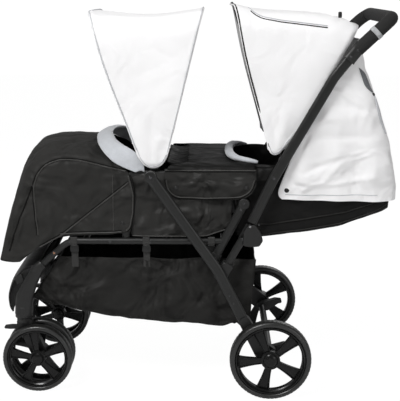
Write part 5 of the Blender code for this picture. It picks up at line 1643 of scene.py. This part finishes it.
    def shell(self):
        rows = []
        for x, low, high in SHELL_STATIONS:
            half = 0.1652 - (0.004 if x > 0.51 else 0.0)
            side = [(x, -half, low + (high - low) * share) for share in (1.0, 0.75, 0.5, 0.28)]
            side += [(x, -half + 0.003, low + 0.014), (x, -half + 0.02, low)]
            rows.append(mirrored(side + [(x, -0.07, low - 0.002), (x, 0.0, low - 0.003)]))
        folds = summed(wrinkle(11.0, 0.0042, (0.6, 1.0, 1.8), 15.0), wrinkle(24.0, 0.0018, (0.7, 1.0, 1.6), 16.0),
                       crease((0.2, 0.47), (0.46, 0.545), 0.012, -0.0045),
                       crease((0.16, 0.5), (0.42, 0.56), 0.01, 0.0035))
        # The shell uses the darkened black cloth: painted shade for the cloth under the back panel
        shell = cloth("rear_shell_dressed", rows, 0.004, "dark_cloth", 2, folds, inside=(0.3, 0.0, 0.56))
        place(shell, "seat_frame", "black_cloth", "rear_shell")
        seam("rear_shell_piping", shell, SHELL_SEAMS, sizes().piping, "black_cloth", "seat_frame", "black_cloth",
             groove=PIPING_SHADE_DROP)


SEAT_BASE = 0.4336
CUSHION_HALF, BACKREST_HALF = 0.154, 0.146


class STROLLER_OT_pads(bpy.types.Operator):
    """Build the seat pads and the backrests"""
    bl_idname = "stroller.pads"
    bl_label = "Seat pads"

    def execute(self, context):
        self.cushion("front", -0.37, -0.1, (-0.35, 0.35))
        self.cushion("rear", -0.03, 0.08, (0.0,))
        self.rear_backrest()
        self.front_backrest()
        self.gusset()
        return {"FINISHED"}

    def cushion(self, where, start, end, channels):
        pad = padding(f"{where}_seat_cushion", (start, -CUSHION_HALF, SEAT_BASE), (end, CUSHION_HALF, SEAT_BASE + 0.03),
                      0.006, "black_cloth", channels=channels)
        place(pad, "seat_frame", "black_cloth", f"{where}_seat_pad")

    def rear_backrest(self):
        pitch = atan2(BACKREST_HEAD[1] - RECLINE_TUBE[1], BACKREST_HEAD[0] - RECLINE_TUBE[0])
        pad = padding("rear_backrest_cushion", (0.02, -BACKREST_HALF, 0.0043), (0.385, BACKREST_HALF, 0.034), 0.006,
                      "black_cloth", channels=(-0.4, 0.0, 0.4))
        tube = Matrix.Translation((RECLINE_TUBE[0], 0.0, RECLINE_TUBE[1]))
        pad.data.transform(tube @ Matrix.Rotation(-pitch, 4, "Y"))
        place(pad, "rear_backrest", "black_cloth", "rear_backrest_pad")

    def front_backrest(self):
        pad = padding("front_backrest_cushion", (0.016, -BACKREST_HALF, -0.0085), (0.3, BACKREST_HALF, 0.0085), 0.003,
                      "dark_cloth", channels=(-0.4, 0.0, 0.4), cap=0.004)
        pad.data.transform(Matrix.Translation((-0.075, 0.0, 0.42)) @ Matrix.Rotation(-radians(90), 4, "Y"))
        for vert in pad.data.vertices:
            vert.co.x -= 0.018 * ramp(vert.co.z, 0.44, 0.14) ** 1.5
        place(pad, "front_backrest", "black_cloth", "front_backrest")

    def gusset(self):
        """The cloth between the knee cover and the head of the front backrest."""
        rows = [[(x, y, 0.629 - 0.006 * sin(pi * k / 4)) for y in (-BACKREST_HALF, -0.08, 0.0, 0.08, BACKREST_HALF)]
                for k, x in enumerate((-0.024, -0.036, -0.05, -0.066, -0.08))]
        gusset = cloth("backrest_gusset", rows, 0.0022, "dark_cloth", 2, wrinkle(18.0, 0.002, seed=50.0),
                       inside=(-0.05, 0.0, 0.5))
        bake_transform(gusset)


BASKET_STATIONS = (
    # top X, top Z, bottom X, bottom Z
    (-0.372, 0.374, -0.456, 0.244), (-0.338, 0.372, -0.402, 0.223), (-0.292, 0.369, -0.335, 0.208),
    (-0.24, 0.37, -0.27, 0.197), (-0.19, 0.368, -0.205, 0.19), (-0.135, 0.372, -0.14, 0.183),
    (-0.07, 0.366, -0.07, 0.177), (-0.01, 0.367, -0.01, 0.172), (0.04, 0.372, 0.04, 0.168),
    (0.1, 0.366, 0.092, 0.168), (0.162, 0.366, 0.146, 0.176),
)
BASKET_CREASES = (
    # start, end, width, depth
    ((-0.33, 0.372), (-0.4, 0.265), 0.03, 0.006), ((-0.33, 0.372), (-0.29, 0.235), 0.03, 0.004),
    ((-0.135, 0.372), (-0.2, 0.24), 0.026, 0.004), ((-0.135, 0.372), (-0.07, 0.26), 0.026, 0.004),
    ((0.04, 0.372), (-0.03, 0.27), 0.024, 0.004), ((-0.3, 0.3), (-0.16, 0.33), 0.02, -0.004),
    ((-0.26, 0.36), (-0.2, 0.27), 0.018, -0.004), ((-0.1, 0.3), (0.06, 0.33), 0.02, -0.003),
)
BASKET_PULLS = (
    # sewn point, turn, number of rays
    ((-0.33, 0.372), 0.2, 9.0), ((-0.135, 0.372), 0.4, 9.0), ((0.04, 0.372), 0.1, 9.0), ((-0.42, 0.25), 0.6, 7.0),
    ((0.11, 0.19), 0.3, 8.0),
)
BASKET_HALF = 0.168
STRAP_PLACES = (-0.33, -0.135, 0.04)
STRAP_PLANE, STRAP_HALF, STRAP_THICK = 0.1712, 0.009, 0.0012
# The strap in the end view, from the basket's cloth up and over the lower rail
STRAP_LINE = ((STRAP_PLANE, 0.345), (STRAP_PLANE, 0.385), (0.1745, 0.404), (0.1905, 0.414), (0.1917, 0.421),
              (0.188, 0.4305), (0.179, 0.4318), (0.169, 0.4285))


class STROLLER_OT_basket(bpy.types.Operator):
    """Build the basket with its straps and clips"""
    bl_idname = "stroller.basket"
    bl_label = "Basket"

    def execute(self, context):
        rows = []
        for top_x, top_z, low_x, low_z in BASKET_STATIONS:
            side = [(top_x + (low_x - top_x) * s, -BASKET_HALF + 0.003 * s, top_z + (low_z - top_z) * s)
                    for s in (0.0, 0.06, 0.3, 0.6, 0.85)]
            side += [(low_x, -BASKET_HALF + 0.006, low_z + 0.008), (low_x, -BASKET_HALF + 0.02, low_z)]
            rows.append(mirrored(side + [(low_x, -0.07, low_z - 0.002), (low_x, 0.0, low_z - 0.003)]))
        folds = summed(wrinkle(10.0, 0.005, (1.0, 1.0, 1.0), 21.0), wrinkle(24.0, 0.0022, (1.0, 1.0, 0.8), 22.0),
                       drawn(BASKET_PULLS, 0.17, 0.004, 0.04), *creases(BASKET_CREASES))
        bag = cloth("basket_cloth", rows, 0.0024, "basket_cloth", 3, folds, inside=(-0.12, 0.0, 0.31))
        place(bag, "seat_frame", "black_cloth", "basket")
        self.end_wall("basket_front", rows[0], 0.0015)
        self.end_wall("basket_back", rows[-1], -0.0015)
        self.straps()
        self.clips()
        return {"FINISHED"}

    def end_wall(self, name, row, inset):
        shares = (-1.0, -0.66, -0.33, 0.0, 0.33, 0.66, 1.0)
        levels = [[(x + inset, u * abs(y), z) for u in shares] for x, y, z in row[:7]]
        wall = cloth(name, levels, 0.0022, "basket_cloth", 2, wrinkle(16.0, 0.0022, seed=31.0),
                     inside=(-0.12, 0.0, 0.3))
        place(wall, "seat_frame", "black_cloth")

    def straps(self):
        webs = []
        last = 4 * (len(STRAP_LINE) - 1)
        for sign in SIDES.values():
            for x in STRAP_PLACES:
                verts = []
                for out, z in STRAP_LINE:
                    outer, inner = sign * out, sign * out - sign * STRAP_THICK
                    verts += [(x - STRAP_HALF, outer, z), (x + STRAP_HALF, outer, z),
                              (x + STRAP_HALF, inner, z - 0.0004), (x - STRAP_HALF, inner, z - 0.0004)]
                faces = ring_faces(len(STRAP_LINE), 4) + [(0, 1, 2, 3), tuple(range(last, last + 4))]
                webs.append((verts, faces))
        strip("basket_straps", "seat_frame", "black_cloth", "webbing", webs)

    def clips(self):
        """The ladder clips on the straps: a buckle and the tongue above it."""
        clips = []
        for sign in SIDES.values():
            plane = sign * STRAP_PLANE
            for x in STRAP_PLACES:
                buckle = softened([(x - 0.0115, 0.388), (x + 0.0115, 0.388), (x + 0.0115, 0.406), (x - 0.0115, 0.406)],
                                  0.003)
                tongue = softened([(x - 0.0075, 0.402), (x + 0.0075, 0.402), (x + 0.006, 0.411), (x - 0.006, 0.411)],
                                  0.002)
                clips.append(outlined(buckle, plane + sign * 0.0005, plane + sign * 0.0055))
                clips.append(outlined(tongue, plane + sign * 0.001, plane + sign * 0.0068))
        strip("basket_clips", "seat_frame", "black_plastic", "black_plastic", clips, bevel=0.0008)


class STROLLER_OT_finish_frame(bpy.types.Operator):
    """Give the frame's own nodes their finishes"""
    bl_idname = "stroller.finish_frame"
    bl_label = "Frame finishes"

    def execute(self, context):
        slot_of = {s["node"]: s["material_slot"] for s in frame["record"]["subparts"]}
        for name, node in frame["nodes"].items():
            slot = slot_of[name]
            made = finish(SLOT_FINISH.get(slot, slot))
            node.data.materials.clear()
            node.data.materials.append(made)
            for material_slot in node.material_slots:
                material_slot.material = made
        return {"FINISHED"}


LAMPS = (
    # name, place, aim, power, size
    ("key", (-1.3, -2.0, 3.0), (0.0, -0.1, 0.55), 78.0, 0.9), ("fill", (2.3, -2.6, 1.2), (0.1, 0.0, 0.5), 14.0, 1.4),
    ("top", (-0.3, -0.6, 3.2), (0.0, 0.0, 0.5), 10.0, 1.6), ("rim", (1.2, 2.4, 1.8), (0.0, 0.0, 0.6), 12.0, 1.4),
)
FLOOR_CORNERS = [(-9, -9, -0.0005), (9, -9, -0.0005), (9, 9, -0.0005), (-9, 9, -0.0005)]


def seen_directly(tree):
    """1 for the camera's own rays, also through a thin piece, and 0 for the light that others gather."""
    path = tree.nodes.new("ShaderNodeLightPath")
    seen = tree.nodes.new("ShaderNodeMath")
    seen.operation = "MAXIMUM"
    tree.links.new(path.outputs["Is Camera Ray"], seen.inputs[0])
    tree.links.new(path.outputs["Is Transmission Ray"], seen.inputs[1])
    return seen.outputs[0]


class STROLLER_OT_stage(bpy.types.Operator):
    """Set the floor, the lights and the camera"""
    bl_idname = "stroller.stage"
    bl_label = "Stage"

    def execute(self, context):
        scene = context.scene
        scene.view_settings.view_transform = "Standard"
        self.floor()
        self.world(scene)
        for name, spot, aim, power, size in LAMPS:
            lamp = bpy.data.lights.new(name, "AREA")
            lamp.energy, lamp.size = power, size
            made = bpy.data.objects.new(name, lamp)
            scene.collection.objects.link(made)
            made.location = spot
            made.rotation_euler = (Vector(aim) - Vector(spot)).to_track_quat("-Z", "Y").to_euler()
        data = bpy.data.cameras.new("camera")
        data.lens, data.sensor_width, data.sensor_fit = 84.5, 36.0, "AUTO"
        camera = bpy.data.objects.new("camera", data)
        scene.collection.objects.link(camera)
        camera.location = (0.0374, -2.624, 1.0981)
        camera.rotation_euler = (radians(76.97), 0.0, radians(0.65))
        scene.camera = camera
        return {"FINISHED"}

    def floor(self):
        made = piece("floor", FLOOR_CORNERS, [(0, 1, 2, 3)], "white_cloth", smooth=False)
        shader = bpy.data.materials.new("pale_floor")
        shader.use_nodes = True
        nodes, links = shader.node_tree.nodes, shader.node_tree.links
        base = nodes["Principled BSDF"]
        base.inputs["Base Color"].default_value = (0.8, 0.8, 0.8, 1.0)
        base.inputs["Roughness"].default_value = 0.9
        bright = nodes.new("ShaderNodeEmission")
        bright.inputs["Color"].default_value = (1.0, 1.0, 1.0, 1.0)
        bright.inputs["Strength"].default_value = 1.06
        share = nodes.new("ShaderNodeMath")
        share.operation = "MULTIPLY"
        share.inputs[1].default_value = 0.92
        links.new(seen_directly(shader.node_tree), share.inputs[0])
        mix = nodes.new("ShaderNodeMixShader")
        links.new(share.outputs[0], mix.inputs["Fac"])
        links.new(base.outputs[0], mix.inputs[1])
        links.new(bright.outputs[0], mix.inputs[2])
        links.new(mix.outputs[0], nodes["Material Output"].inputs["Surface"])
        made.data.materials.clear()
        made.data.materials.append(shader)

    def world(self, scene):
        world = bpy.data.worlds.new("pale_world")
        scene.world = world
        world.use_nodes = True
        nodes, links = world.node_tree.nodes, world.node_tree.links
        back = nodes["Background"]
        back.inputs["Color"].default_value = (1.0, 1.0, 1.0, 1.0)
        level = nodes.new("ShaderNodeMapRange")
        level.inputs["To Min"].default_value = 0.3
        level.inputs["To Max"].default_value = 1.02
        links.new(seen_directly(world.node_tree), level.inputs["Value"])
        links.new(level.outputs["Result"], back.inputs["Strength"])


PIECES = (STROLLER_OT_finish_frame, STROLLER_OT_wheels, STROLLER_OT_tubes, STROLLER_OT_joints, STROLLER_OT_rivets,
          STROLLER_OT_handle, STROLLER_OT_legs, STROLLER_OT_front_canopy, STROLLER_OT_rear_canopy,
          STROLLER_OT_back_panel, STROLLER_OT_leg_cover, STROLLER_OT_seat_body, STROLLER_OT_pads,
          STROLLER_OT_basket, STROLLER_OT_stage)


class STROLLER_PT_panel(bpy.types.Panel):
    """The stroller's pieces, sizes and colours"""
    bl_idname = "STROLLER_PT_panel"
    bl_label = "Tandem stroller"
    bl_space_type = "VIEW_3D"
    bl_region_type = "UI"
    bl_category = "Stroller"

    def draw(self, context):
        for group in (context.scene.stroller_sizes, context.scene.stroller_colours):
            box = self.layout.box()
            for key in group.bl_rna.properties.keys():
                if key not in {"rna_type", "name"}:
                    box.prop(group, key)
        for made in PIECES:
            self.layout.operator(made.bl_idname)


CLASSES = (StrollerColours, StrollerSizes, *PIECES, STROLLER_PT_panel)


def register():
    for made in CLASSES:
        bpy.utils.register_class(made)
    bpy.types.Scene.stroller_colours = bpy.props.PointerProperty(type=StrollerColours)
    bpy.types.Scene.stroller_sizes = bpy.props.PointerProperty(type=StrollerSizes)


def unregister():
    del bpy.types.Scene.stroller_sizes
    del bpy.types.Scene.stroller_colours
    for made in reversed(CLASSES):
        bpy.utils.unregister_class(made)


def main():
    register()
    for made in PIECES:
        group, name = made.bl_idname.split(".")
        getattr(getattr(bpy.ops, group), name)()


if __name__ == "__main__":
    main()
